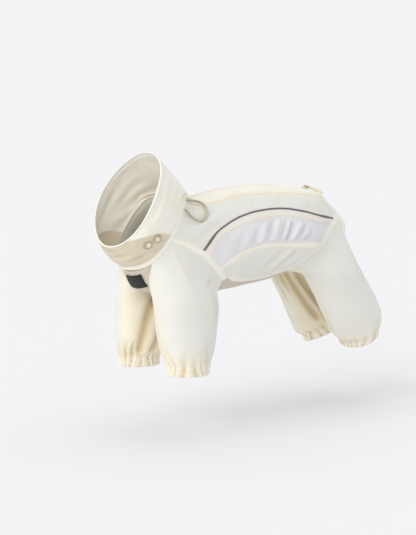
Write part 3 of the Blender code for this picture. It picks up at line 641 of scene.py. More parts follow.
def grid_uv(u: Array, v: Array) -> Array:
    """UV in metres for the corners of a grid's cells, from millimetres at its points."""
    j, i = np.arange(u.shape[0] - 1)[:, None], np.arange(u.shape[1] - 1)[None, :]
    corners = [(j, i), (j, i + 1), (j + 1, i + 1), (j + 1, i)]
    return np.stack([np.stack([u[c], v[c]], -1) for c in corners], 2).reshape(-1, 4, 2) * MM


def tube_normals(points: Array) -> Array:
    """Normals of a tube of points, away from its axis."""
    around = np.roll(points, -1, 1) - np.roll(points, 1, 1)
    normals = unit(np.cross(around, np.gradient(points, axis=0)))
    outward = (normals * (points - points.mean(axis=1, keepdims=True))).sum()
    return normals if outward > 0 else -normals


@dataclass
class Cloth:
    """One piece of cloth: a thin shell about a grid of points in millimetres.

    Attributes:
        name: The piece's name.
        points: Its middle surface in rows and columns.
        normals: Outward normals there.
        outer: Thickness outside the middle surface.
        inner: Thickness inside it.
        closed: Whether the last column joins the first.
        soft_edge: How far in from its edges it thins out.
        lift: Millimetres that folds move it outwards.
        mark: How much painted shade each point gets in folds, grooves and gather valleys, below 0 a painted
            highlight on a ridge.
        cream_and_warm_shade: How far each point turns to the finish's cream colour: the cloth's own tone on
            the hood and the back bands' hems, painted yellowish shade and glow on the legs' head and inner
            sides and low parts and along the side panels' seams.
        fullness: Flat area of the cut beside the area that shows.
        mirror: Whether it is made for the other side.
    """

    name: str
    points: Array
    normals: Array
    outer: float = 0.55
    inner: float = 0.3
    closed: bool = False
    soft_edge: float = 1.0
    lift: Array | float = 0.0
    mark: Array | float = 0.0
    cream_and_warm_shade: Array | float = 0.0
    fullness: float = 1.0
    mirror: bool = False
    middle: Array = field(init=False)

    THIN_EDGE = 0.25
    # metres, the least that a sheet may be stated as
    LEAST_FLAT = 0.0101  # metres, the least width and length that a cut is given as

    def __post_init__(self) -> None:
        """Work out the folded middle surface."""
        self.middle = self.points + self.normals * np.broadcast_to(self.lift, self.points.shape[:2])[..., None]

    def looped(self, grid: Array) -> Array:
        """The grid with its first column again at the end, if the cloth is closed."""
        return np.concatenate([grid, grid[:, :1]], 1) if self.closed else grid

    def edge_share(self) -> Array:
        """How full the cloth's thickness is at each point."""
        near = edge_gap(self.middle, (0,) if self.closed else (0, 1))
        share = np.minimum(near / self.soft_edge, 1)
        return self.THIN_EDGE + (1 - self.THIN_EDGE) * np.sqrt(1 - (1 - share) ** 2)

    def cut(self) -> tuple[float, float, float]:
        """The flat width, length and area in metres that the cloth was cut to."""
        grid = self.looped(self.middle)
        width = float(arc(grid, 1)[:, -1].max()) * MM * self.fullness
        length = float(arc(self.middle, 0)[-1].max()) * MM
        a, b = grid[1:, 1:] - grid[:-1, :-1], grid[1:, :-1] - grid[:-1, 1:]
        area = float(np.linalg.norm(np.cross(a, b), axis=-1).sum()) / 2 * MM * MM * self.fullness
        width, length = max(width, self.LEAST_FLAT), max(length, self.LEAST_FLAT)
        return width, length, min(area, width * length)

    def build(self) -> bpy.types.Object:
        """The piece as an object."""
        rows, columns = self.middle.shape[:2]
        share = self.edge_share()[..., None]
        outside = self.middle + self.normals * self.outer * share
        inside = self.middle - self.normals * self.inner * share
        points = np.concatenate([outside.reshape(-1, 3), inside.reshape(-1, 3)])
        under = rows * columns
        top = grid_faces(rows, columns, self.closed)
        rim = self.rim_faces(rows, columns)
        faces = np.concatenate([top, under + top[:, ::-1], rim])
        grid = self.looped(self.middle)
        face_uv = grid_uv(arc(grid, 1), arc(grid, 0))
        uv = np.concatenate([face_uv, face_uv[:, ::-1], np.zeros((len(rim), 4, 2))])
        marks = {
            label: np.tile(np.broadcast_to(values, (rows, columns)).ravel(), 2)
            for label, values in ((PAINTED_SHADE_NAME, self.mark), (CREAM_AND_SHADE_NAME, self.cream_and_warm_shade))
        }
        j, i = max(rows // 2 - 1, 0), columns // 2
        here = self.middle[j, i]
        facing = np.cross(here - self.middle[j, i - 1], self.middle[j + 1, i] - here)
        flip = float(facing @ self.normals[j, i]) < 0
        if self.mirror:
            points, flip = points * (1, -1, 1), not flip
        if flip:
            faces, uv = faces[:, ::-1], uv[:, ::-1]
        return make_object(self.name, points, faces, uv, marks)

    def rim_faces(self, rows: int, columns: int) -> Array:
        """Faces that join the outer and inner skins along the edges."""
        under, last = rows * columns, (rows - 1) * columns
        i = np.arange(columns if self.closed else columns - 1)
        n = (i + 1) % columns
        rims = [(n, i, under + i, under + n), (last + i, last + n, under + last + n, under + last + i)]
        if not self.closed:
            j = np.arange(rows - 1) * columns
            k = j + columns - 1
            rims.append((j, j + columns, under + j + columns, under + j))
            rims.append((k + columns, k, under + k, under + k + columns))
        return np.concatenate([np.stack(rim, -1) for rim in rims])


# Node trees


class Graph:
    """A node tree and the one way that its nodes are made."""

    def __init__(self, tree: bpy.types.NodeTree) -> None:
        """Keep the tree."""
        self.tree = tree

    def node(self, kind: str, settings: dict[str, Any] | None = None,
             inputs: dict[Any, Any] | None = None) -> bpy.types.Node:
        """Add a node.

        Args:
            kind: The node's type.
            settings: Its properties.
            inputs: Values or links of its sockets, by name, identifier or number.

        Returns:
            The node.
        """
        made = self.tree.nodes.new(kind)
        for key, value in (settings or {}).items():
            setattr(made, key, value)
        for key, value in (inputs or {}).items():
            if isinstance(key, int):
                socket = made.inputs[key]
            else:
                socket = next(s for s in made.inputs if key in (s.identifier, s.name))
            self.feed(socket, value)
        return made

    def feed(self, socket: bpy.types.NodeSocket, value: Any) -> None:
        """Link a socket to a source, or set it to a plain value."""
        source = value.socket if isinstance(value, Number) else value
        if isinstance(source, bpy.types.NodeSocket):
            self.tree.links.new(source, socket)
        else:
            socket.default_value = source

    def mix(self, share: "Number | float", first: Any, second: Any) -> bpy.types.NodeSocket:
        """A colour between two colours."""
        inputs = {"Factor_Float": share, "A_Color": first, "B_Color": second}
        made = self.node("ShaderNodeMix", {"data_type": "RGBA", "clamp_factor": True}, inputs)
        return next(s for s in made.outputs if s.identifier == "Result_Color")

    def noise(self, scale: float, detail: float, vector: bpy.types.NodeSocket) -> "Number":
        """Smooth noise about 0.5."""
        inputs = {"Scale": scale, "Detail": detail, "Vector": vector}
        return Number(self, self.node("ShaderNodeTexNoise", None, inputs).outputs[0])


class Number:
    """A number in a shader. Arithmetic on it adds Math nodes."""

    def __init__(self, graph: Graph, socket: bpy.types.NodeSocket) -> None:
        """Wrap a socket."""
        self.graph, self.socket = graph, socket

    def maths(self, operation: str, *values: Any) -> "Number":
        """One Math node on the values."""
        made = self.graph.node("ShaderNodeMath", {"operation": operation}, dict(enumerate(values)))
        return Number(self.graph, made.outputs[0])

    def __add__(self, other: Any) -> "Number":
        """Sum."""
        return self.maths("ADD", self, other)

    __radd__ = __add__

    def __sub__(self, other: Any) -> "Number":
        """Difference."""
        return self.maths("SUBTRACT", self, other)

    def __rsub__(self, other: Any) -> "Number":
        """Difference from a plain number."""
        return self.maths("SUBTRACT", other, self)

    def __mul__(self, other: Any) -> "Number":
        """Product."""
        return self.maths("MULTIPLY", self, other)

    __rmul__ = __mul__

    def sine(self) -> "Number":
        """Sine."""
        return self.maths("SINE", self)

    def size(self) -> "Number":
        """Absolute value."""
        return self.maths("ABSOLUTE", self)

    def step(self, low: float, high: float) -> "Number":
        """0 below low, 1 above high and smooth between."""
        inputs = {"Value": self, "From Min": low, "From Max": high}
        made = self.graph.node("ShaderNodeMapRange", {"interpolation_type": "SMOOTHSTEP"}, inputs)
        return Number(self.graph, made.outputs[0])


def linear(colour: Colour) -> tuple[float, float, float, float]:
    """A display colour of 0 to 255 as a scene colour."""
    return (*((c / 255) ** GAMMA for c in colour), 1.0)


class Surface:
    """A new material: its graph, its shader and the coordinates that patterns follow."""

    def __init__(self, name: str) -> None:
        """Start the material."""
        self.material = bpy.data.materials.new(name)
        self.material.use_nodes = True
        tree = self.material.node_tree
        tree.nodes.clear()
        self.graph = Graph(tree)
        self.shader = self.graph.node("ShaderNodeBsdfPrincipled")
        out = self.graph.node("ShaderNodeOutputMaterial")
        tree.links.new(self.shader.outputs[0], out.inputs["Surface"])

    def uv(self) -> tuple[Number, Number]:
        """The cloth's own coordinates in millimetres."""
        source = self.graph.node("ShaderNodeUVMap", {"uv_map": UV_NAME}).outputs[0]
        parts = self.graph.node("ShaderNodeSeparateXYZ", None, {0: source})
        return tuple(Number(self.graph, parts.outputs[k]) * (1 / MM) for k in (0, 1))

    def place(self) -> bpy.types.NodeSocket:
        """The object's coordinates in metres."""
        return self.graph.node("ShaderNodeTexCoord").outputs["Object"]

    def mark(self, name: str) -> Number:
        """A number that the piece's vertices carry."""
        source = self.graph.node("ShaderNodeAttribute", {"attribute_name": name})
        return Number(self.graph, next(s for s in source.outputs if s.name == "Fac"))

    def set(self, **values: Any) -> None:
        """Values or links for the shader's sockets, by name with _ for a space."""
        for key, value in values.items():
            self.graph.feed(self.shader.inputs[key.replace("_", " ")], value)

    def bump(self, height: Number, relief: float, strength: float = 1.0) -> None:
        """Raise the surface by height times relief millimetres."""
        inputs = {"Height": height, "Distance": relief * MM, "Strength": strength}
        self.set(Normal=self.graph.node("ShaderNodeBump", None, inputs).outputs[0])


@dataclass(frozen=True)
class ClothFinish:
    """A cloth: its display colours, its weave and how it takes light."""

    name: str
    lit: Colour
    shade: Colour
    cream_and_warm_shade: Colour
    weave: Weave
    pitch: float = 0.9
    relief: float = 0.05
    roughness: float = 0.72
    sheen: float = 0.15
    patches: float = 0.12

    def height(self, surface: Surface) -> Number:
        """The weave's height, about 0."""
        u, v = surface.uv()
        k = 2 * math.pi / self.pitch
        if self.weave is Weave.PLAIN:
            return (u * k).sine() * (v * k).sine()
        if self.weave is Weave.RIB:
            return (u * k).sine() * 0.6 + (v * k * 0.5).sine() * 0.4
        if self.weave is Weave.BRAID:
            return ((u + v) * k).sine() * ((u - v) * k).sine()
        if self.weave is Weave.KNIT:
            return (u * k + (v * k).sine() * 1.3).sine()
        rows = (u * k).sine() * (v * k).sine()
        return 0.0 - rows.size().step(0.35, 0.8)

    def material(self) -> bpy.types.Material:
        """The finished material."""
        surface = Surface(self.name)
        graph = surface.graph
        height = self.height(surface)
        place = surface.place()
        slow = graph.noise(22.0, 2.0, place)
        fine = graph.noise(900.0, 1.0, place)
        # Painted shade from the crease attribute: toward the shade colour in folds, grooves and gather
        # valleys.
        fold_shade_and_highlight = surface.mark(PAINTED_SHADE_NAME)
        # Toward the cream colour: the cloth's own tone in places, painted yellowish shade and glow elsewhere.
        tone = graph.mix(surface.mark(CREAM_AND_SHADE_NAME), linear(self.lit), linear(self.cream_and_warm_shade))
        tone = graph.mix(fold_shade_and_highlight * 0.9, tone, linear(self.shade))
        # Painted highlight on ridges, where the crease attribute is below 0.
        tone = graph.mix(fold_shade_and_highlight * -0.6, tone, linear(tuple(min(255, c + 22) for c in self.lit)))
        tone = graph.mix(slow.step(0.3, 0.75) * self.patches, tone, linear(self.shade))
        # Painted shade in the hollows of the weave.
        depth = {Weave.MESH: 0.22, Weave.PINHOLE: 0.16, Weave.BRAID: 0.3}.get(self.weave, 0.05)
        tone = graph.mix((0.0 - height).step(0.1, 1.0) * depth, tone, linear(self.shade))
        surface.set(Base_Color=tone, Roughness=slow * 0.1 + (self.roughness - 0.05))
        surface.set(Sheen_Weight=self.sheen, Sheen_Roughness=0.5)
        surface.bump(height + fine * 0.5, self.relief)
        return surface.material


@dataclass(frozen=True)
class HardFinish:
    """Metal or moulded plastic with fine wear, and painted shade in grooves and along edges where the crease
    attribute is set.
    """

    name: str
    base: Colour
    # The colour of wear, which the crease attribute also uses as painted shade.
    worn: Colour
    roughness: float
    metallic: float = 0.0
    coat: float = 0.0

    def material(self) -> bpy.types.Material:
        """The finished material."""
        surface = Surface(self.name)
        graph = surface.graph
        place = surface.place()
        slow = graph.noise(160.0, 3.0, place)
        fine = graph.noise(2600.0, 2.0, place)
        tone = graph.mix(slow.step(0.45, 0.75) * 0.6, linear(self.base), linear(self.worn))
        # Painted shade in grooves and along edges, toward the same colour as the wear.
        tone = graph.mix(surface.mark(PAINTED_SHADE_NAME), tone, linear(self.worn))
        surface.set(Base_Color=tone, Roughness=fine * 0.15 + (self.roughness - 0.07))
        surface.set(Metallic=self.metallic, Coat_Weight=self.coat)
        surface.bump(fine, 0.02, 0.6)
        return surface.material


NYLON = ClothFinish(
    "thin_nylon", (232, 233, 227), (205, 184, 140), (246, 238, 215), Weave.PLAIN, 0.8, 0.03, 0.62, 0.25)
HOOD = ClothFinish(
    "hood_nylon", (247, 246, 238), (212, 193, 152), (252, 247, 228), Weave.PLAIN, 0.8, 0.03, 0.62, 0.25)
CREAM = ClothFinish(
    "cream_tape_cloth", (248, 246, 236), (216, 197, 154), (249, 240, 212), Weave.RIB, 0.9, 0.06, 0.78)
CUFF = ClothFinish(
    "cuff_cloth", (247, 243, 228), (208, 186, 138), (248, 240, 214), Weave.PLAIN, 0.8, 0.04, 0.72)
COLLAR = ClothFinish(
    "collar_knit", (233, 222, 199), (184, 164, 128), (240, 228, 196), Weave.KNIT, 1.1, 0.1, 0.85)
MESH = ClothFinish(
    "side_mesh", (246, 245, 247), (186, 182, 192), (240, 236, 232), Weave.MESH, 1.3, 0.12, 0.8)
MESH_EDGE = ClothFinish(
    "mesh_border_cloth", (244, 238, 233), (214, 198, 182), (248, 240, 222), Weave.PINHOLE, 2.4, 0.1, 0.78)
UNDERSIDE = ClothFinish(
    "underside_knit", (224, 214, 199), (158, 138, 110), (232, 220, 194), Weave.MESH, 1.3, 0.15, 0.88)
PIPING = ClothFinish(
    "piping_cloth", (104, 101, 118), (70, 67, 84), (104, 101, 118), Weave.PLAIN, 0.6, 0.03, 0.42, 0.0)
PATCH = ClothFinish(
    "label_weave", (30, 30, 33), (12, 12, 14), (30, 30, 33), Weave.RIB, 0.5, 0.06, 0.8, 0.1, 0.3)
BRAID = ClothFinish(
    "cord_braid", (232, 225, 202), (112, 100, 68), (232, 225, 202), Weave.BRAID, 1.9, 0.25, 0.8, 0.1, 0.3)
THREAD = HardFinish("sewing_thread", (240, 233, 211), (206, 192, 158), 0.6)
DARK_THREAD = HardFinish("label_thread", (52, 52, 56), (24, 24, 27), 0.6)
COIL = HardFinish("zip_coil", (240, 236, 222), (214, 204, 178), 0.4, coat=0.2)
# The snap's second colour also paints the shade in its groove and under its rim.
CAP = HardFinish("snap_plastic", (238, 230, 207), (138, 120, 84), 0.38, coat=0.3)
STEEL = HardFinish("slider_steel", (206, 204, 198), (150, 142, 128), 0.26, 1.0)
GOLD = HardFinish("slider_gold", (190, 142, 62), (120, 84, 34), 0.3, 1.0)
# The tab's second colour also paints the shade along its edges.
TAB = HardFinish("soft_tab", (248, 236, 196), (228, 206, 150), 0.45, coat=0.15)


# Assembly


class Workroom:
    """Dresses the pieces, ties them to their bodies and logs their cuts."""

    BODY = "garment"

    def __init__(self) -> None:
        """Start with no material made."""
        self.made: dict[str, bpy.types.Material] = {}

    def material(self, finish: Any) -> bpy.types.Material:
        """The finish's one material."""
        if finish.name not in self.made:
            self.made[finish.name] = finish.material()
        return self.made[finish.name]

    def dress(self, piece: bpy.types.Object, finish: Any, slot: Slot, nodes: Sequence[str] = (),
              body: str = BODY) -> bpy.types.Object:
        """Give a piece its material and body, and hide the solids that it stands for."""
        if not piece.data.materials:
            piece.data.materials.append(self.material(finish))
        if nodes:
            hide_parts(*nodes)
        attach(piece, body)
        LOG.info("%s: %d faces", piece.name, len(piece.data.polygons))
        return piece

    def cloth(self, cloth: Cloth, finish: ClothFinish, slot: Slot, held: Held, rests_on: str,
              nodes: Sequence[str] = ()) -> bpy.types.Object:
        """Build, dress and declare a piece of cloth.

        Args:
            cloth: The piece.
            finish: What it is made of.
            slot: Its material slot.
            held: How it is held; not used.
            rests_on: The piece that carries it; not used.
            nodes: The solids that it stands for, or the one of its name.

        Returns:
            The object.
        """
        width, length, area = cloth.cut()
        nodes = tuple(nodes) or (cloth.name,)
        piece = cloth.build()
        piece.name = piece.data.name = f"{cloth.name}_cloth"
        self.dress(piece, finish, slot, nodes)
        LOG.info("cut of %s: %.3f x %.3f m, %.5f m2", piece.name, width, length, area)
        return piece


@dataclass
class BeadRow:
    """Small round-ended beads along lines: stitches or zip teeth.

    Attributes:
        name: The piece's name.
        spacing: Millimetres from bead to bead.
        length: Size along the line.
        width: Size across it, level.
        height: Size across it, upright.
        upright: Whether beads keep level, as zip teeth do.
    """

    name: str
    spacing: float
    length: float
    width: float
    height: float
    upright: bool = False

    def tree(self, material: bpy.types.Material) -> tuple[bpy.types.NodeTree, dict[str, Any]]:
        """The node tree, and its input values by socket identifier."""
        tree = bpy.data.node_groups.new(f"{self.name}_beads", "GeometryNodeTree")
        face = tree.interface
        face.new_socket("Lines", in_out="INPUT", socket_type="NodeSocketGeometry")
        face.new_socket("Beads", in_out="OUTPUT", socket_type="NodeSocketGeometry")
        values = {}
        sizes = (self.spacing, self.length / 2, self.width / 2, self.height / 2)
        for label, size in zip(("Spacing", "Length", "Width", "Height"), sizes):
            socket = face.new_socket(label, in_out="INPUT", socket_type="NodeSocketFloat")
            values[socket.identifier] = size * MM
        socket = face.new_socket("Material", in_out="INPUT", socket_type="NodeSocketMaterial")
        values[socket.identifier] = material
        graph = Graph(tree)
        given = graph.node("NodeGroupInput").outputs
        curve = graph.node("GeometryNodeMeshToCurve", None, {"Mesh": given["Lines"]}).outputs[0]
        if self.upright:
            curve = graph.node("GeometryNodeSetCurveNormal", {"mode": "Z_UP"}, {"Curve": curve}).outputs[0]
        inputs = {"Curve": curve, "Length": given["Spacing"]}
        spots = graph.node("GeometryNodeCurveToPoints", {"mode": "LENGTH"}, inputs)
        inputs = {"X": given["Width"], "Y": given["Height"], "Z": given["Length"]}
        scale = graph.node("ShaderNodeCombineXYZ", None, inputs).outputs[0]
        inputs = {"Segments": 5, "Rings": 4, "Radius": 1.0}
        bead = graph.node("GeometryNodeMeshUVSphere", None, inputs).outputs[0]
        inputs = {"Points": spots.outputs["Points"], "Rotation": spots.outputs["Rotation"]}
        inputs.update({"Instance": bead, "Scale": scale})
        many = graph.node("GeometryNodeInstanceOnPoints", None, inputs).outputs[0]
        real = graph.node("GeometryNodeRealizeInstances", None, {"Geometry": many}).outputs[0]
        smooth = graph.node("GeometryNodeSetShadeSmooth", None, {"Geometry": real}).outputs[0]
        inputs = {"Geometry": smooth, "Material": given["Material"]}
        done = graph.node("GeometryNodeSetMaterial", None, inputs).outputs[0]
        graph.node("NodeGroupOutput", None, {"Beads": done})
        return tree, values

    def build(self, lines: Sequence[Array], material: bpy.types.Material) -> bpy.types.Object:
        """Set the beads along lines of points in millimetres.

        Args:
            lines: The lines.
            material: The beads' material.

        Returns:
            One plain mesh object.
        """
        points = np.concatenate(lines) * MM
        starts = np.cumsum([0] + [len(line) for line in lines])
        edges = [(a, a + 1) for low, high in zip(starts, starts[1:]) for a in range(low, high - 1)]
        mesh = bpy.data.meshes.new(f"{self.name}_lines")
        mesh.from_pydata(points.tolist(), edges, [])
        host = linked(f"{self.name}_lines", mesh)
        tree, values = self.tree(material)
        modifier = host.modifiers.new("beads", "NODES")
        modifier.node_group = tree
        for identifier, value in values.items():
            modifier[identifier] = value
        depsgraph = bpy.context.evaluated_depsgraph_get()
        real = bpy.data.meshes.new_from_object(host.evaluated_get(depsgraph), depsgraph=depsgraph)
        real.name = self.name
        bpy.data.objects.remove(host, do_unlink=True)
        return linked(self.name, real)


class Tailor:
    """What every sub-assembly shares: the pattern, the workroom and ways to put cloth on a form."""

    OVERLAP = 0.15  # a tape reaches this far over the panels beside it

    def __init__(self, pattern: Pattern, room: Workroom) -> None:
        """Keep the pattern and the workroom."""
        self.pattern, self.room = pattern, room

    def on_body(self, places: Array) -> tuple[Array, Array]:
        """Points and normals of places on the body."""
        return self.pattern.body.points(places), self.pattern.body.normals(places)

    def on_hood(self, places: Array) -> tuple[Array, Array]:
        """Points and normals of places on the hood."""
        return self.pattern.hood.points(places), self.pattern.hood.normals(places)

    def folded(self, creases: Sequence[Crease], places: Array, scale: tuple[float, float], rough: Array,
               calm: Array) -> dict[str, Array]:
        """A panel's lift and painted fold shade from its creases and roughness, which die out where it is
        calm.
        """
        offset, mark = press(creases, places[..., 0], places[..., 1], scale)
        return {"lift": (offset + rough) * calm, "mark": mark * calm}

    def line(self, seam: Seam, lift: float, side: Side = Side.LEFT) -> Array:
        """Points of a seam, lifted off the body, for sewing along."""
        points, normals = self.on_body(seam.at(np.linspace(0, 1, 160)))
        points = points + normals * lift
        return points * side.flip

    def sew(self, name: str, lines: Sequence[Array], finish: HardFinish = THREAD, slot: Slot = Slot.TAPE,
            spacing: float = 2.5) -> bpy.types.Object:
        """Stitches along lines of points."""
        row = BeadRow(name, spacing=spacing, length=spacing * 0.72, width=0.42, height=0.42)
        return self.room.dress(row.build(lines, self.room.material(finish)), finish, slot)

    def strip(self, name: str, first: Seam, second: Seam, columns: int, mirror: bool) -> Cloth:
        """A seam tape between two lines on the body, with soft raised edges."""
        upper, lower = first.shifted(-self.OVERLAP), second.shifted(self.OVERLAP)
        points, normals = self.on_body(ruled(upper, lower, even(columns), even(7, 0.12)))
        pucker = waves(points, 0.12, 5.0, 3.0)
        return Cloth(name, points, normals, outer=1.0, inner=0.2, lift=pucker, soft_edge=0.9, mirror=mirror)


# Sub-assemblies


@dataclass
class BackClosure:
    """The full zip along the spine: coil, teeth, tapes and bands; ZipRunner makes the slider and pull."""

    tailor: Tailor
    columns: int = 170
    tooth_pitch: float = 1.5
    teeth_backs: tuple[float, float] = (1.0, 257.0)
    row_offset: float = 0.85
    hem: float = 5.0

    def build(self) -> None:
        """Make the back."""
        t, p = self.tailor, self.tailor.pattern
        places = ruled(Seam(p.chain.places * (1, -1)), p.chain, even(self.columns), even(6, 0.1))
        points, normals = t.on_body(places)
        coil = Cloth("zip_chain", points, normals, outer=0.3, inner=0.3, soft_edge=0.3)
        t.room.cloth(coil, CREAM, Slot.ZIP, Held.STRETCHED, "zip_tape_left")
        self.teeth()
        for side in Side:
            mirror = side.mirror
            u, v = even(self.columns), even(5, 0.1)
            places = coons(p.chain, p.zip, p.neck(1, 2), p.rear(1, 2), u, v)
            points, normals = t.on_body(places)
            tape = Cloth(f"zip_tape_{side.value}", points, normals, outer=0.5, soft_edge=0.5, mirror=mirror)
            t.room.cloth(tape, CREAM, Slot.TAPE, Held.STRETCHED, f"back_band_{side.value}")
            places = coons(p.zip, p.band, p.neck(2, 3), p.rear(2, 3), u, even(20, 0.04))
            points, normals = t.on_body(places)
            lift = waves(points, 0.5, 26.0, 11.0 + mirror)
            ripple = 0.25 * np.sin(places[..., 0] * 0.55) * np.exp(-((edge_gap(points) / 5.0) ** 2))
            down = arc(points, 0)
            left = down[-1:] - down - self.hem
            cream_and_warm_shade = 0.15 + 0.75 * (1 - smoothstep((left + 1.0) / 1.5))
            # A groove above the hem, with painted shade in it.
            groove = 0.35 * np.exp(-((left / 0.45) ** 2))
            band = Cloth(f"back_band_{side.value}", points, normals, outer=0.75, lift=lift + ripple - groove,
                         mark=groove, cream_and_warm_shade=cream_and_warm_shade, mirror=mirror)
            t.room.cloth(band, CREAM, Slot.TAPE, Held.DRAPED, f"upper_side_{side.value}")
            lines = [t.line(p.zip.shifted(1.5), 0.8, side), t.line(p.zip.shifted(-1.2), 0.55, side),
                     t.line(p.band.shifted(-1.4), 0.85, side)]
            t.sew(f"back_stitches_{side.value}", lines)

    def teeth(self) -> None:
        """The coil's teeth, one row for each tape."""
        t = self.tailor
        shares = np.linspace(0.002, 0.995, 500)
        backs = np.interp(shares, [0, 1], self.teeth_backs)
        points, normals = t.on_body(np.stack([backs, np.zeros_like(backs)], -1))
        lines = []
        for way, start in ((-1, 0), (1, 1)):
            line = points + normals * 0.5 + np.array([0.0, way * self.row_offset, 0.0])
            along = arc(line[None], 1)[0]
            where = along[0] + self.tooth_pitch / 2 * start + np.arange(0, along[-1] - self.tooth_pitch, 1.0)
            lines.append(np.stack([np.interp(where, along, line[:, k]) for k in range(3)], -1))
        row = BeadRow("zip_teeth", spacing=self.tooth_pitch, length=1.05, width=2.3, height=0.9, upright=True)
        t.room.dress(row.build(lines, t.room.material(COIL)), COIL, Slot.ZIP)


class Solid(NamedTuple):
    """Points in millimetres and faces of a closed body."""

    points: Array
    faces: list[list[int]]


def merged(solids: Sequence[Solid]) -> Solid:
    """Several bodies as one mesh."""
    starts = np.cumsum([0] + [len(solid.points) for solid in solids])
    faces = [[int(start) + k for k in face] for start, solid in zip(starts, solids) for face in solid.faces]
    return Solid(np.concatenate([solid.points for solid in solids]), faces)


def rings_to_solid(rings: Array, closed: bool = False) -> Solid:
    """A tube through rings of points, with flat ends unless it comes round."""
    count, sides = rings.shape[:2]
    points = rings.reshape(-1, 3)
    if closed:
        faces = grid_faces(count + 1, sides, True) % (count * sides)
        return Solid(points, faces.tolist())
    faces = grid_faces(count, sides, True).tolist()
    faces += [list(range(sides))[::-1], list(range((count - 1) * sides, count * sides))]
    return Solid(points, faces)


def rod(line: Array, up: Array, width: float, height: float, closed: bool = False, sides: int = 14) -> Solid:
    """A rounded bar along a line.

    Args:
        line: Its middle.
        up: A direction that is never along it.
        width: Its half width, level.
        height: Its half height, along up.
        closed: Whether it comes round.
        sides: Faces round it.

    Returns:
        The bar.
    """
    ahead = np.roll(line, -1, 0) - np.roll(line, 1, 0) if closed else np.gradient(line, axis=0)
    tangent = unit(ahead)
    side = unit(np.cross(tangent, np.broadcast_to(up, line.shape)))
    rise = np.cross(side, tangent)
    angle = circle(sides)
    wide = side[:, None] * np.cos(angle)[None, :, None] * width
    return rings_to_solid(line[:, None] + wide + rise[:, None] * np.sin(angle)[None, :, None] * height, closed)


def slab(outline: Sequence[tuple[float, float]], low: float, high: float, bevel: float) -> Solid:
    """A plate with a rounded outline and rounded edges."""
    corners = np.array(outline, float)
    for _ in range(3):
        ahead = np.roll(corners, -1, 0)
        corners = np.stack([0.75 * corners + 0.25 * ahead, 0.25 * corners + 0.75 * ahead], 1).reshape(-1, 2)
    along = unit(np.roll(corners, -1, 0) - np.roll(corners, 1, 0))
    inward = np.column_stack([-along[:, 1], along[:, 0]])
    turn = np.radians([0, 30, 60, 90])
    steps = [(bevel * (1 - math.sin(a)), low + bevel * (1 - math.cos(a))) for a in turn]
    steps += [(inset, high + low - height) for inset, height in steps[::-1]]
    rings = [np.column_stack([corners + inward * inset, np.full(len(corners), height)])
             for inset, height in steps]
    return rings_to_solid(np.array(rings))


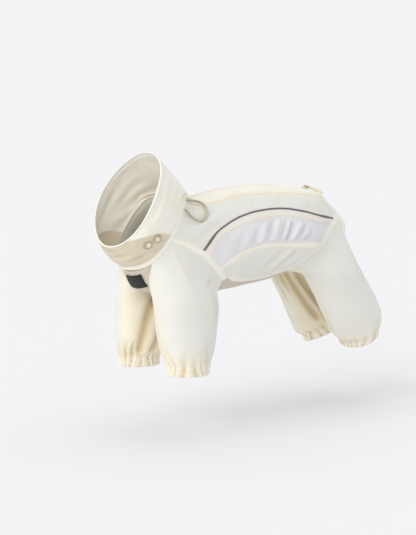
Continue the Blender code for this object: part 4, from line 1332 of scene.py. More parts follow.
@dataclass
class ZipRunner:
    """The slider on the chain, its gold link and the soft pull tab."""

    tailor: Tailor
    back: float = 231.0
    pivot: tuple[float, float, float] = (231.944, 0.0, 14.75)
    tilt: float = 14.0
    link_length: float = 9.0
    tab_length: float = 40.0
    tab_width: float = 7.0
    tab_thickness: float = 2.7
    tab_twist: float = 40.0

    # outlines along and across the zip
    BODY = (
        (-5, -2.3), (-3.6, -3.1), (0, -3.2), (3.2, -3.75), (5, -3.1),
        (5.2, 3.1), (3.2, 3.75), (0, 3.2), (-3.6, 3.1), (-5, 2.3),
    )
    CORE = ((-4.2, -1.6), (4.2, -2.4), (4.2, 2.4), (-4.2, 1.6))

    def piece(self, name: str, solid: Solid, finish: HardFinish, slot: Slot, node: Sequence[str], body: str,
              mark: Array | None = None) -> None:
        """Make one hard piece, turned the right way out."""
        marks = {PAINTED_SHADE_NAME: np.zeros(len(solid.points)) if mark is None else mark}
        thing = make_object(name, solid.points, solid.faces, None, marks, 40.0)
        work = bmesh.new()
        work.from_mesh(thing.data)
        bmesh.ops.recalc_face_normals(work, faces=work.faces)
        work.to_mesh(thing.data)
        work.free()
        self.tailor.room.dress(thing, finish, slot, node, body)

    def build(self) -> None:
        """Make the slider, the link and the tab."""
        places = np.array([[self.back, 0.0], [self.back + 1, 0.0]])
        seat, normals = self.tailor.on_body(places)
        ahead, up = unit(seat[1] - seat[0]), normals[0]
        axes = np.array([ahead, np.cross(up, ahead), up])
        arch = np.radians(np.linspace(0, 180, 25))
        bridge = np.column_stack([-3.2 * np.cos(arch), np.zeros(25), 2.1 + 3.6 * np.sin(arch) ** 0.7])
        parts = [slab(self.BODY, 1.35, 2.35, 0.4), slab(self.CORE, 0.6, 1.5, 0.2)]
        parts.append(slab(self.BODY, -0.4, 0.7, 0.4))
        parts.append(rod(bridge, np.array([0.0, 1.0, 0.0]), 0.5, 0.85))
        body = merged(parts)
        placed = Solid(seat[0] + body.points @ axes, body.faces)
        self.piece("zip_slider_body", placed, STEEL, Slot.METAL, ("zip_slider",), Workroom.BODY)
        self.pull()

    def pull(self) -> None:
        """The link through the bridge and the tab folded round it."""
        angle = math.radians(self.tilt)
        along = np.array([math.cos(angle), 0.0, -math.sin(angle)])
        axes = np.array([along, [0.0, 1.0, 0.0], np.cross(along, [0.0, 1.0, 0.0])])
        half, reach, bend = 2.5, self.link_length, 1.6
        far = reach - bend
        loop = []
        for x, y, first in ((bend, -half, 180), (far, -half, 270), (far, half, 0), (bend, half, 90)):
            turn = np.radians(np.linspace(first, first + 90, 8))
            centre = y - math.copysign(bend, y)
            loop += [(x + bend * math.cos(t), centre + bend * math.sin(t), 0.0) for t in turn]
        link = rod(np.array(loop) - (0.6, 0, 0), np.array([0.0, 0.0, 1.0]), 0.62, 0.62, True, 12)
        spot = np.array(self.pivot)
        self.piece("zip_pull_link", Solid(spot + link.points @ axes, link.faces), GOLD, Slot.PULL, (), "pull")
        start, end = reach - 2.6, self.tab_length
        run = start + (end - start) * (1 - np.cos(np.linspace(0, np.pi, 61))) / 2
        share = (run - start) / (end - start)
        width = self.tab_width / 2 * np.interp(share, [0, 0.2, 0.3, 1], [0.72, 0.76, 1, 1])
        round_end = np.sqrt(np.clip(1 - (np.clip(run - (end - 3.6), 0, None) / 3.6) ** 2, 0.004, 1))
        round_start = np.sqrt(np.clip(1 - (np.clip(start + 1.2 - run, 0, None) / 1.2) ** 2, 0.004, 1))
        width = width * round_end * np.sqrt(round_start)
        thick = self.tab_thickness / 2 * np.interp(share, [0, 0.12, 0.24, 1], [1.35, 1.25, 0.9, 0.85])
        thick = thick * np.sqrt(round_end) * round_start
        turn = circle(28)
        c, t = np.cos(turn), np.sin(turn)
        flat = np.sign(t) * np.abs(t) ** 0.55
        dished = smoothstep((share - 0.32) / 0.06) * smoothstep((0.93 - share) / 0.06)
        dish = 1 - 0.35 * np.exp(-((c / 0.55) ** 2)) * dished[:, None]
        y = width[:, None] * np.sign(c) * np.abs(c) ** 0.8
        z = thick[:, None] * flat[None] * dish
        roll = np.radians(self.tab_twist * smoothstep((share - 0.05) / 0.4))[:, None]
        sag = -1.2 * share[:, None] ** 2
        rings = np.stack([
            np.broadcast_to(run[:, None], y.shape), y * np.cos(roll) - z * np.sin(roll),
            y * np.sin(roll) + z * np.cos(roll) + sag,
        ], -1)
        tab = rings_to_solid(rings)
        # Painted shade in lines along both long edges of the tab.
        edge = np.exp(-(((np.abs(c) - 0.66) / 0.08) ** 2))
        mark = (0.5 * edge * smoothstep((share - 0.3) / 0.08)[:, None]).ravel()
        placed = Solid(spot + tab.points @ axes, tab.faces)
        self.piece("zip_pull_tab", placed, TAB, Slot.PULL, ("zip_pull",), "pull", mark)


@dataclass
class SidePanels:
    """The two sides: upper panel, piping, mesh with its border, mid tape, lower side and belly tape."""

    tailor: Tailor

    UPPER = (
        Crease(((6, 90), (28, 70), (60, 48)), 7, -1.5, 0.2),
        Crease(((0, 78), (20, 60), (44, 46)), 6, 1.1),
        Crease(((18, 96), (34, 84), (44, 72)), 5, 0.9),
        Crease(((92, 40), (104, 52)), 5, 0.6), Crease(((150, 38), (141, 52)), 6, 0.7),
        Crease(((198, 40), (206, 56), (224, 64)), 5, 0.9),
        Crease(((228, 36), (236, 50), (240, 60)), 5, 1.0),
        Crease(((244, 34), (248, 46), (250, 58)), 4, 0.8),
    )
    MESH = (
        Crease(((172, 70), (174, 84), (175, 98)), 4.0, 1.6, 0.3, (0.2, 0.3)),
        Crease(((190, 72), (187, 86), (184, 98)), 4.6, -2.2, 0.2, (0.25, 0.25)),
        Crease(((203, 74), (198, 88), (193, 98)), 4.0, 1.3, 0.3, (0.3, 0.3)),
        Crease(((143, 66), (146, 82), (148, 97)), 4.8, -2.1, 0.2, (0.25, 0.15)),
        Crease(((157, 68), (159, 82), (161, 97)), 4.2, 1.1, 0.3, (0.3, 0.3)),
        Crease(((165, 69), (167, 84), (168, 97)), 4.0, -1.0, 0.2, (0.3, 0.4)),
        Crease(((131, 67), (134, 82), (137, 97)), 4.6, 1.2, 0.3, (0.3, 0.3)),
        Crease(((120, 68), (123, 82), (127, 98)), 4.6, -1.5, 0.2, (0.3, 0.3)),
        Crease(((107, 69), (112, 84), (117, 98)), 4.6, 1.0, 0.3, (0.4, 0.3)),
        Crease(((212, 75), (207, 88), (202, 98)), 3.6, -1.4, 0.2),
        Crease(((220, 80), (214, 92), (209, 102)), 3.4, 1.0),
        Crease(((94, 72), (101, 88), (108, 99)), 5, -0.9, 0.2),
        Crease(((82, 76), (91, 92), (99, 103)), 4.6, 0.8),
        Crease(((70, 86), (81, 98), (90, 108)), 5, -0.8, 0.2),
        Crease(((64, 94), (73, 106), (82, 114)), 4.6, 0.6),
    )
    LOWER = (
        Crease(((196, 103), (184, 120), (172, 136)), 5, -1.6, 0.2, (0.2, 0.4)),
        Crease(((208, 104), (196, 122), (186, 140)), 4, 1.3, 0.4, (0.2, 0.3)),
        Crease(((178, 102), (168, 116), (158, 130)), 4.5, 1.0, 0.4, (0.2, 0.5)),
        Crease(((222, 108), (210, 126), (200, 142)), 4, -1.1, 0.3, (0.2, 0.3)),
        Crease(((228, 116), (219, 132), (212, 144)), 3.5, 1.0),
        Crease(((120, 106), (126, 122), (138, 136)), 7, 0.8),
        Crease(((150, 101), (146, 116), (142, 130)), 6, 0.6, 0.4),
    )

    EDGE_CALM = 5.0  # folds die out this near to a seam
    SEEDS = {Side.LEFT: 21.0, Side.RIGHT: 57.0}

    def panel(self, name: str, side: Side, edges: tuple[Seam, Seam, Seam, Seam], size: tuple[int, int],
              creases: Sequence[Crease], outer: float = 0.5, rough: float = 0.45) -> Cloth:
        """A panel inside four seams, with its folds."""
        places = coons(*edges, even(size[0], 0.004), even(size[1], 0.012))
        points, normals = self.tailor.on_body(places)
        inside = edge_gap(points, (0, 1))
        seed = self.SEEDS[side]
        folds = self.tailor.folded(creases, places, (1, MM_PER_DEGREE), waves(points, rough, 24.0, seed),
                                   smoothstep(inside / self.EDGE_CALM))
        # Yellower near the seams: painted glow of light through the thin cloth, with random tone.
        cream_and_warm_shade = np.clip(0.7 * np.exp(-inside / 3.0) + waves(points, 0.2, 38.0, seed + 3.0), 0, 1)
        return Cloth(name, points, normals, outer=outer, cream_and_warm_shade=cream_and_warm_shade, mirror=side.mirror, **folds)

    def build(self) -> None:
        """Make both sides."""
        for side in Side:
            self.one(side)

    def one(self, side: Side) -> None:
        """Make one side."""
        t, p, s = self.tailor, self.tailor.pattern, side.value
        front, rear = p.neck(3, 4) + p.raglan_part(0, 1), p.rear(3, 4) + p.hip_part(0, 1)
        upper = self.panel(f"upper_side_{s}", side, (p.band, p.piping_top, front, rear), (160, 40), self.UPPER)
        t.room.cloth(upper, NYLON, Slot.SHELL, Held.DRAPED, f"back_band_{s}")
        self.piping(side)
        edges = (p.piping_low, p.mesh_top, p.raglan_part(2, 3), p.hip_part(2, 3))
        border = self.panel(f"mesh_border_{s}", side, edges, (140, 8), (), 0.65, 0.25)
        t.room.cloth(border, MESH_EDGE, Slot.MESH_EDGE, Held.STRETCHED, f"mesh_panel_{s}")
        edges = (p.mesh_top.shifted(-0.6), p.mid_top, p.raglan_part(3, 4), p.hip_part(3, 4))
        mesh = self.panel(f"mesh_panel_{s}", side, edges, (180, 34), self.MESH, 0.4)
        t.room.cloth(mesh, MESH, Slot.MESH, Held.DRAPED, f"mesh_border_{s}")
        self.tape("mid_tape", side, p.mid_top, p.mid_low, 130, "mesh_panel")
        edges = (p.mid_low, p.belly_top, p.raglan_part(5, 6), p.hip_part(5, 6))
        lower = self.panel(f"lower_side_{s}", side, edges, (120, 40), self.LOWER)
        t.room.cloth(lower, NYLON, Slot.SHELL, Held.DRAPED, f"mid_tape_{s}")
        self.tape("belly_tape", side, p.belly_top, p.belly_low, 110, "lower_side")
        self.tape("raglan_tape", side, p.raglan_back, p.raglan_front, 130, "front_sleeve")
        self.tape("hip_tape", side, p.hip_front.reversed(), p.hip_back.reversed(), 100, "hind_leg", True)
        lines = [t.line(seam.shifted(shift), 1.0, side) for seam, shift in (
            (p.mid_top, 1.0), (p.mid_low, -1.0), (p.belly_top, 1.0), (p.belly_low, -1.0),
            (p.raglan_back, 1.0), (p.raglan_front, -1.0), (p.hip_front, -0.9), (p.hip_back, 0.9),
        )]
        lines.append(t.line(p.mesh_top.shifted(-1.0), 0.7, side))
        lines.append(t.line(p.piping_low.shifted(1.1), 0.7, side))
        t.sew(f"side_stitches_{s}", lines)

    def tape(self, name: str, side: Side, first: Seam, second: Seam, columns: int, hangs_on: str,
             striped: bool = False) -> None:
        """One seam tape of a side, plain or in two stripes."""
        t = self.tailor
        tape = t.strip(f"{name}_{side.value}", first, second, columns, side.mirror)
        tape = self.grooved(tape) if striped else tape
        t.room.cloth(tape, CREAM, Slot.TAPE, Held.STRETCHED, f"{hangs_on}_{side.value}")

    def grooved(self, tape: Cloth) -> Cloth:
        """The hip tape with the groove between its two stripes, and painted shade in the groove."""
        down = arc(tape.points, 0)
        middle = down / down[-1:] - 0.5
        tape.lift = tape.lift - 0.5 * np.exp(-((middle / 0.07) ** 2))
        # Painted shade in the groove.
        tape.mark = 0.45 * np.exp(-((middle / 0.06) ** 2))
        tape.middle = tape.points + tape.normals * tape.lift[..., None]
        return tape

    def piping(self, side: Side) -> None:
        """The dark corded edge above the mesh."""
        t, p = self.tailor, self.tailor.pattern
        places = ruled(p.piping_top, p.piping_low, even(190), even(8))
        points, normals = t.on_body(places)
        down = arc(points, 0)
        share = down / down[-1:]
        lift = 0.95 * half_round(share)
        cord = Cloth(f"piping_{side.value}", points, normals, outer=0.35, inner=0.9, lift=lift, soft_edge=0.2,
                     mirror=side.mirror)
        t.room.cloth(cord, PIPING, Slot.PIPING, Held.FOLDED, f"upper_side_{side.value}")


@dataclass
class Underside:
    """Chest panel and belly panel, each from one side over the middle to the other."""

    tailor: Tailor

    CHEST = (
        Crease(((10, 150), (18, 168), (22, 185)), 5, 0.9),
        Crease(((30, 215), (22, 200), (20, 190)), 5, 0.8),
        Crease(((44, 168), (47, 180), (44, 192)), 4, 0.8),
    )
    GROIN_AND_ARMPIT = (
        Crease(((68, 165), (84, 158), (100, 151)), 2.6, 1.9, 0.5),
        Crease(((72, 170), (92, 163), (112, 156)), 2.8, 2.1, 0.5),
        Crease(((88, 158), (104, 152), (122, 148)), 2.6, 1.4, 0.5),
        Crease(((236, 150), (222, 160), (198, 167)), 4.2, 1.2, 0.5),
        Crease(((243, 156), (230, 167), (206, 176)), 4, 1.0, 0.5),
    )
    BELLY = GROIN_AND_ARMPIT + tuple(crease.mirrored() for crease in GROIN_AND_ARMPIT) + (
        Crease(((66, 174), (84, 171), (106, 168)), 3, 1.3, 0.5),
        Crease(((150, 150), (140, 170), (146, 196)), 8, 0.9),
        Crease(((188, 152), (178, 178), (184, 204)), 8, 0.8),
    )

    EDGE_CALM = 4.0

    def panel(self, name: str, seam: Seam, size: tuple[int, int], creases: Sequence[Crease],
              hangs_on: str) -> None:
        """A panel from a seam on the left to the same seam on the right."""
        t = self.tailor
        places = ruled(seam, seam.mirrored(), even(size[0], 0.01), even(size[1], 0.012))
        points, normals = t.on_body(places)
        folds = t.folded(creases, places, (1, MM_PER_DEGREE), waves(points, 0.5, 20.0, 33.0),
                         smoothstep(edge_gap(points) / self.EDGE_CALM))
        cloth = Cloth(name, points, normals, outer=0.5, **folds)
        t.room.cloth(cloth, UNDERSIDE, Slot.UNDERSIDE, Held.DRAPED, hangs_on)

    def build(self) -> None:
        """Make both panels."""
        t, p = self.tailor, self.tailor.pattern
        self.panel("chest_panel", p.chest, (50, 60), self.CHEST, "front_sleeve_left")
        front, rear = (Seam([seam.places[-1]]) for seam in (p.raglan_back, p.hip_back))
        line = p.armpit + front + p.belly_low + rear + p.groin
        self.panel("belly_panel", line, (120, 60), self.BELLY, "belly_tape_left")
        lines = []
        for side in Side:
            lines += [t.line(p.chest.shifted(1.2), 0.6, side), t.line(p.armpit.shifted(1.2), 0.6, side)]
            lines.append(t.line(p.groin.shifted(1.2), 0.6, side))
        t.sew("underside_stitches", lines)


@dataclass
class RingTapes:
    """The neck tape and the rolled binding of the rear opening."""

    tailor: Tailor

    def ring(self, name: str, stops: Sequence[tuple[float, float]], low: float, high: float, roll: float,
             hangs_on: str) -> None:
        """A closed tape along a ring seam.

        Args:
            name: The piece's name.
            stops: The seam as (turn, back).
            low: Its front edge's distance behind the seam.
            high: Its rear edge's distance behind the seam.
            roll: How far its middle stands up.
            hangs_on: The piece that carries it.
        """
        t = self.tailor
        turns = np.linspace(0, FULL_TURN, RING_COLUMNS, endpoint=False)
        backs = smooth_rows(stops, left_turn(turns))[..., 1]
        across = even(9, 0.1)
        places = np.stack([
            backs[None] + (low + (high - low) * across)[:, None],
            np.broadcast_to(turns, (len(across), len(turns))),
        ], -1)
        points, normals = t.on_body(places)
        bulge = roll * half_round(across)[:, None]
        lift = bulge + waves(points, 0.18, 5.0, 8.0)
        tape = Cloth(name, points, normals, outer=0.95, inner=0.3, closed=True, lift=lift, soft_edge=0.9)
        t.room.cloth(tape, CREAM, Slot.TAPE, Held.FOLDED, hangs_on)

    def build(self) -> None:
        """Make both tapes and their stitches."""
        t, p = self.tailor, self.tailor.pattern
        self.ring("neck_tape", p.NECK, -p.NECK_TAPE - 0.5, 0.5, 0.35, "hood_side_left")
        self.ring("rear_binding", p.REAR, -0.4, p.REAR_BINDING - 1.2, 0.75, "hind_leg_left")
        lines = []
        for stops, places in ((p.NECK, (-p.NECK_TAPE + 1.0, -1.0)), (p.REAR, (0.7, p.REAR_BINDING - 2.1))):
            for shift in places:
                turns = np.linspace(4, 356, 300)
                backs = smooth_rows(stops, left_turn(turns))[..., 1] + shift
                points, normals = t.on_body(np.stack([backs, turns], -1))
                lines.append(points + normals * THREAD_LIFT)
        t.sew("ring_stitches", lines)


@dataclass
class HoodPieces:
    """Side panels, crown tape, throat collar and rim binding of the hood."""

    tailor: Tailor

    SIDE = (
        Crease(((0.18, 14), (0.13, 40), (0.16, 66)), 4.5, 1.6, 0.5, (0.3, 0.4)),
        Crease(((0.42, 18), (0.36, 48), (0.34, 80)), 7, 1.2, 0.5),
        Crease(((0.7, 30), (0.6, 62), (0.52, 96)), 8, 1.3, 0.4),
        Crease(((0.1, 60), (0.22, 84), (0.4, 104)), 6, 1.0, 0.4),
        Crease(((0.85, 60), (0.78, 90), (0.74, 120)), 6, 1.0, 0.4),
    )
    THROAT = (
        Crease(((0.15, 120), (0.2, 150), (0.16, 178)), 4, 1.2, 0.4),
        Crease(((0.5, 140), (0.44, 170), (0.5, 200)), 6, 1.4, 0.4),
        Crease(((0.75, 158), (0.7, 182), (0.76, 206)), 5, 1.0, 0.4),
    )
    SCALE = (75.0, 1.0)  # millimetres of one level and of one degree
    EDGE_CALM = 5.0

    def panel(self, name: str, first: Callable[[Array], Array], second: Callable[[Array], Array],
              size: tuple[int, int], creases: Sequence[Crease], mirror: bool, outer: float) -> Cloth:
        """Cloth on the hood between two turns that depend on the level."""
        levels = even(size[0], 0.02) * self.tailor.pattern.HOOD_EDGE
        shares = even(size[1], 0.01)
        start, end = first(levels), second(levels)
        turns = start[:, None] + (end - start)[:, None] * shares[None]
        places = np.stack([np.broadcast_to(levels[:, None], turns.shape), turns], -1)
        points, normals = self.tailor.on_hood(places)
        folds = self.tailor.folded(creases, places, self.SCALE, waves(points, 0.7, 30.0, 5.0 + mirror),
                                   smoothstep(edge_gap(points) / self.EDGE_CALM))
        cream_and_warm_shade = 0.4 + waves(points, 0.2, 35.0, 15.0)
        return Cloth(name, points, normals, outer=outer, cream_and_warm_shade=cream_and_warm_shade, mirror=mirror, **folds)

    def build(self) -> None:
        """Make the hood."""
        t, p = self.tailor, self.tailor.pattern
        seam_turn = p.NECK_TURNS[1]
        lines = []
        for side in Side:
            mirror = side.mirror
            cloth = self.panel(f"hood_side_{side.value}", lambda level: np.full(level.shape, seam_turn),
                               p.collar_turn, (52, 96), self.SIDE, mirror, 0.5)
            t.room.cloth(cloth, HOOD, Slot.SHELL, Held.DRAPED, "hood_seam_tape")
            levels = np.linspace(0.01, p.HOOD_EDGE, 160)
            points, normals = t.on_hood(np.stack([levels, p.collar_turn(levels) - 2.2], -1))
            lines.append((points + normals * 0.75) * side.flip)
        left, right = (lambda level: p.collar_turn(level) - 0.6,
                       lambda level: FULL_TURN - p.collar_turn(level) + 0.6)
        collar = self.panel("throat_collar", left, right, (52, 110), self.THROAT, False, 0.75)
        t.room.cloth(collar, COLLAR, Slot.COLLAR, Held.DRAPED, "neck_tape")
        self.crown_tape()
        self.rim(lines)
        t.sew("hood_stitches", lines)

    def crown_tape(self) -> None:
        """The tape over the seam along the crown."""
        t, p = self.tailor, self.tailor.pattern
        levels, shares = even(60), even(7, 0.12)
        turns = -p.NECK_TURNS[1] - 0.4 + (2 * p.NECK_TURNS[1] + 0.8) * shares
        places = np.stack(np.broadcast_arrays(levels[None] * p.HOOD_EDGE, turns[:, None]), -1)
        points, normals = t.on_hood(places)
        pucker = waves(points, 0.12, 5.0, 2.0)
        tape = Cloth("hood_seam_tape", points, normals, outer=0.95, inner=0.2, lift=pucker)
        t.room.cloth(tape, CREAM, Slot.TAPE, Held.STRETCHED, "hood_side_left")

    def rim(self, lines: list[Array]) -> None:
        """The rolled binding round the face opening, and where it is sewn."""
        t, p = self.tailor, self.tailor.pattern
        turns = np.linspace(0, FULL_TURN, RING_COLUMNS, endpoint=False)
        across = even(9, 0.1)
        levels = p.HOOD_EDGE - 0.006 + (1 - p.HOOD_EDGE + 0.006) * across
        places = np.stack(np.broadcast_arrays(levels[:, None], turns[None]), -1)
        points, normals = t.on_hood(places)
        bulge = 0.7 * half_round(across)[:, None]
        lift = bulge + waves(points, 0.25, 6.0, 4.0)
        binding = Cloth("hood_rim_binding", points, normals, outer=0.95, inner=0.5, closed=True, lift=lift)
        t.room.cloth(binding, CREAM, Slot.TAPE, Held.FOLDED, "hood_side_left")
        ring = np.stack([np.full(360, p.HOOD_EDGE + 0.012), np.linspace(0, FULL_TURN, 360)], -1)
        points, normals = t.on_hood(ring)
        lines.append(points + normals * THREAD_LIFT)


class Gathers(NamedTuple):
    """Uneven gathers round a cuff: where each stands and how high."""

    angles: Array
    heights: Array

    def read(self, angle: Array, values: Array) -> Array:
        """Read values of three turns of gathers at an angle."""
        marks = np.concatenate([self.angles - FULL_TURN, self.angles, self.angles + FULL_TURN])
        return np.interp(angle % FULL_TURN, marks, values)

    def height(self, angle: Array) -> Array:
        """How high the gathers stand."""
        return self.read(angle, np.tile(self.heights, 3))

    def reach(self, angle: Array) -> Array:
        """How far up the leg their folds run, in millimetres: a high gather runs further."""
        return 4.0 + 8.0 * self.height(angle)

    def wave(self, angle: Array) -> Array:
        """From -1 in a gather's valleys to 1 on its crest, times its height."""
        phase = self.read(angle, 2 * math.pi * np.arange(3 * len(self.angles)))
        return self.height(angle) * (np.cos(phase) + 0.25 * np.cos(2 * phase))


@dataclass
class Limb:
    """A sleeve or hind leg with its gathered cuff.

    Attributes:
        tailor: The shared tailor.
        name: The leg's node without its side.
        cuff: The cuff's node without its side.
        rings: z, x, out, fore-aft, across, slope back and slope in of its rings.
        creases: Its folds for each side, on (angle, height).
        gather_count: Gathers round the cuff.
        seed: Which uneven gathers.
        cuff_depth: The cuff's depth.
        cuff_drop: Gap between the leg's last ring and the cuff.
    """

    tailor: Tailor
    name: str
    cuff: str
    rings: tuple[tuple[float, ...], ...]
    creases: dict[Side, tuple[Crease, ...]]
    gather_count: int
    seed: int
    cuff_depth: float = 12.5
    cuff_drop: float = 0.7
    columns: int = 164
    fan_rows: int = 30
    ring_rows: int = 60

    LEAVE_SKIN = 0.62
    LEAVE_PULL = 0.95
    ARRIVE_PULL = 0.75
    UNDER_TURN = 95.0
    UNDER_SPAN = 50.0
    GIRTH_PER_DEGREE = 0.68
    SEWN_ROWS = (4, 11)
    FULLNESS = 1.35

    CORNERS: ClassVar[tuple[float, ...]]  # angles where one stretch of the seam ends and the next begins
    COUNTS: ClassVar[tuple[int, ...]]  # steps of the solids' taped seam at its stops
    TAPE: ClassVar[str]  # the tape that it hangs on

    def stretch(self, number: int, shares: Array) -> Array:
        """Places on the body at shares of one stretch of the limb's seam."""
        raise NotImplementedError

    def loop(self, angles: Array) -> Array:
        """Places on the body's seam at angles round the limb."""
        places = np.empty((len(angles), 2))
        number = np.searchsorted(self.CORNERS, angles, "right") - 1
        for k, (low, high) in enumerate(zip(self.CORNERS, self.CORNERS[1:])):
            places[number == k] = self.stretch(k, (angles[number == k] - low) / (high - low))
        return places

    def ring(self, rows: Array, angles: Array) -> Array:
        """Points of rings at angles: rows of the table against a row of angles."""
        z, x, out, fore_aft, across, slope_back, slope_in = (rows[:, None, k] for k in range(7))
        dx = fore_aft * np.cos(np.radians(angles))[None]
        dy = across * np.sin(np.radians(angles))[None]
        return np.stack([x + dx, -out - dy, z + slope_back * dx - slope_in * dy], -1)

    def gathers(self, side: Side) -> Gathers:
        """The uneven gathers of one side."""
        rng = np.random.default_rng(self.seed + side.mirror)
        widths = rng.uniform(0.55, 1.45, self.gather_count)
        ends = np.cumsum(widths) / widths.sum() * FULL_TURN
        return Gathers(ends - widths / widths.sum() * FULL_TURN, rng.uniform(0.35, 1.25, self.gather_count))

    def tube(self, angles: Array) -> Array:
        """The limb's smooth form, from its seam down to its last ring."""
        body = self.tailor.pattern.body
        loop = self.loop(angles)
        seam, skin = body.points(loop), body.normals(loop)
        table = np.array(self.rings, float)
        first, second = self.ring(table[:1], angles)[0], self.ring(table[1:2], angles)[0]
        tangent = np.roll(seam, -1, 0) - np.roll(seam, 1, 0)
        inward = unit(np.cross(skin, tangent))
        if (inward * (seam.mean(0) - seam)).sum() < 0:
            inward = -inward
        reach = np.linalg.norm(first - seam, axis=1, keepdims=True)
        straight = (first - seam) / reach
        under = smoothstep((loop[:, 1] - self.UNDER_TURN) / self.UNDER_SPAN)[:, None]
        leave = (self.LEAVE_SKIN * inward + (1 - self.LEAVE_SKIN) * straight) * (1 - under) + straight * under
        leave = unit(sum(np.roll(leave, k, 0) for k in range(-5, 6)))
        arrive = unit(second - first)
        rows = [
            (2 * t**3 - 3 * t**2 + 1) * seam + (t**3 - 2 * t**2 + t) * self.LEAVE_PULL * reach * leave
            + (3 * t**2 - 2 * t**3) * first + (t**3 - t**2) * self.ARRIVE_PULL * reach * arrive
            for t in np.concatenate([[0, 0.006], np.linspace(0.02, 1, self.fan_rows)])
        ]
        index = np.arange(len(table), dtype=float)
        fall = np.concatenate([[0], np.cumsum(np.abs(np.diff(table[:, 0])))])
        keys = np.interp(np.linspace(0, fall[-1], self.ring_rows + 1)[1:], fall, index)
        lower = smooth_rows(np.column_stack([index, table]), keys)[:, 1:]
        return np.concatenate([np.array(rows), self.ring(lower, angles)])

    def leg(self, side: Side, gathers: Gathers) -> Cloth:
        """The leg itself, with its long folds and the small tents above the cuff."""
        angles = self.CORNERS[0] + np.linspace(0, FULL_TURN, self.columns, endpoint=False)
        points = self.tube(angles)
        normals = tube_normals(points)
        spread = np.broadcast_to(angles[None], points.shape[:2])
        offset, mark = press(self.creases[side], spread, points[..., 2], (self.GIRTH_PER_DEGREE, 1.0), True)
        down = arc(points, 0)
        left = down[-1:] - down
        calm = smoothstep(down / 6.0)
        tents = gathers.wave(spread) * np.exp(-((left / gathers.reach(spread)) ** 1.3))
        offset = (offset * smoothstep((left + 2.0) / 7.0) + waves(points, 0.9, 32.0, float(self.seed))) * calm
        # Painted shade in folds and in the valleys of the small tents above the cuff.
        mark = np.clip(mark * calm + np.clip(-tents, 0, 1) * 0.8, -1, 1)
        # More cream on the head and inner sides and towards the cuff: painted yellowish shade and glow of
        # light through the thin cloth, with random tone.
        inner = smoothstep((spread - 150) / 60) * (1 - smoothstep((spread - 345) / 40))
        low = np.exp(-((left / 16.0) ** 1.5))
        cream_and_warm_shade = np.clip(0.8 * inner + 0.6 * low + waves(points, 0.12, 40.0, self.seed + 9.0), 0, 1)
        return Cloth(f"{self.name}_{side.value}", points, normals, outer=0.5, closed=True, lift=offset + tents,
                     mark=mark, cream_and_warm_shade=cream_and_warm_shade, mirror=side.mirror)

    def band(self, side: Side, gathers: Gathers) -> tuple[Cloth, list[Array]]:
        """The elastic cuff, and the lines that its elastic is sewn along."""
        count = self.gather_count * 16
        angles = np.linspace(0, FULL_TURN, count, endpoint=False)
        last = np.array(self.rings[-1], float)
        axis = unit(np.array([last[5], last[6], -1.0]))
        shares = np.concatenate([[-0.14, -0.05, 0.03], np.linspace(0.1, 0.9, 12), [0.95, 0.985, 1.0]])
        size = np.interp(shares, [-0.14, 0, 0.12, 0.5, 1], [1.0, 1.0, 0.985, 0.94, 0.955])
        height = np.interp(shares, [-0.14, 0, 0.25, 0.5, 0.8, 1], [0.85, 1.0, 1.0, 0.85, 1.1, 1.35])
        puff = 0.12 + 0.8 * np.sin(np.pi * np.clip(shares, 0, 1)) ** 0.7
        table = np.repeat(last[None], len(shares), 0)
        table[:, 3] *= size
        table[:, 4] *= size
        ring = self.ring(table, angles)
        away = unit(ring - ring.mean(axis=1, keepdims=True))
        drop = axis * (self.cuff_drop + shares * self.cuff_depth)[:, None, None]
        drift = 9.0 * np.sin(np.radians(angles * 3 + 40.0 * self.seed))[None] * np.clip(shares, 0, 1)[:, None]
        turned = angles[None] + drift
        wave = gathers.wave(turned) * height[:, None]
        uneven = 50 * np.sin(np.radians(turned * 4))
        fine = np.sin(np.radians(turned * 31 + uneven)) * 0.22 * smoothstep(shares * 5)[:, None]
        flat = ring * (1, 1, 0) + np.array([0, 0, 9.0]) * shares[:, None, None]
        wave = wave + fine + waves(flat, 0.3, 3.0, 7.0)
        points = ring + away * (wave + puff[:, None])[..., None] + drop
        # Painted shade in the gather valleys.
        mark = np.clip(0.05 - wave * 0.9, 0, 0.8)
        normals = tube_normals(points)
        cloth = Cloth(f"{self.cuff}_{side.value}", points, normals, outer=0.5, inner=0.35, closed=True,
                      mark=mark, soft_edge=0.7, fullness=self.FULLNESS, mirror=side.mirror)
        rows = [(points[row] + normals[row] * 0.5) * side.flip for row in self.SEWN_ROWS]
        return cloth, [np.concatenate([row, row[:1]]) for row in rows]

    def build(self) -> None:
        """Make both limbs."""
        t = self.tailor
        for side in Side:
            gathers = self.gathers(side)
            t.room.cloth(self.leg(side, gathers), NYLON, Slot.SHELL, Held.HUNG, f"{self.TAPE}_{side.value}")
            cuff, lines = self.band(side, gathers)
            t.room.cloth(cuff, CUFF, Slot.TAPE, Held.GATHERED, f"{self.name}_{side.value}")
            t.sew(f"{self.cuff}_stitches_{side.value}", lines, spacing=2.2)

class Sleeve(Limb):
    """A front sleeve: its seam follows the neck, the chest, the armpit and the raglan tape."""

    CORNERS = (100.0, 165.0, 215.0, 352.0, 460.0)
    COUNTS = (0, 2, 4, 5, 8, 9, 12, 13)
    TAPE = "raglan_tape"

    def stretch(self, number: int, shares: Array) -> Array:
        """Places on the body at shares of one stretch of the sleeve's seam."""
        p = self.tailor.pattern
        if number == 0:
            return p.ring_places(p.NECK, p.NECK_TURNS[5], p.NECK_TURNS[6], shares)
        if number == 3:
            return p.raglan_front.at(np.interp(self.COUNTS[-1] * (1 - shares), self.COUNTS, p.RAGLAN_STOPS))
        return (p.chest, p.armpit)[number - 1].at(shares)


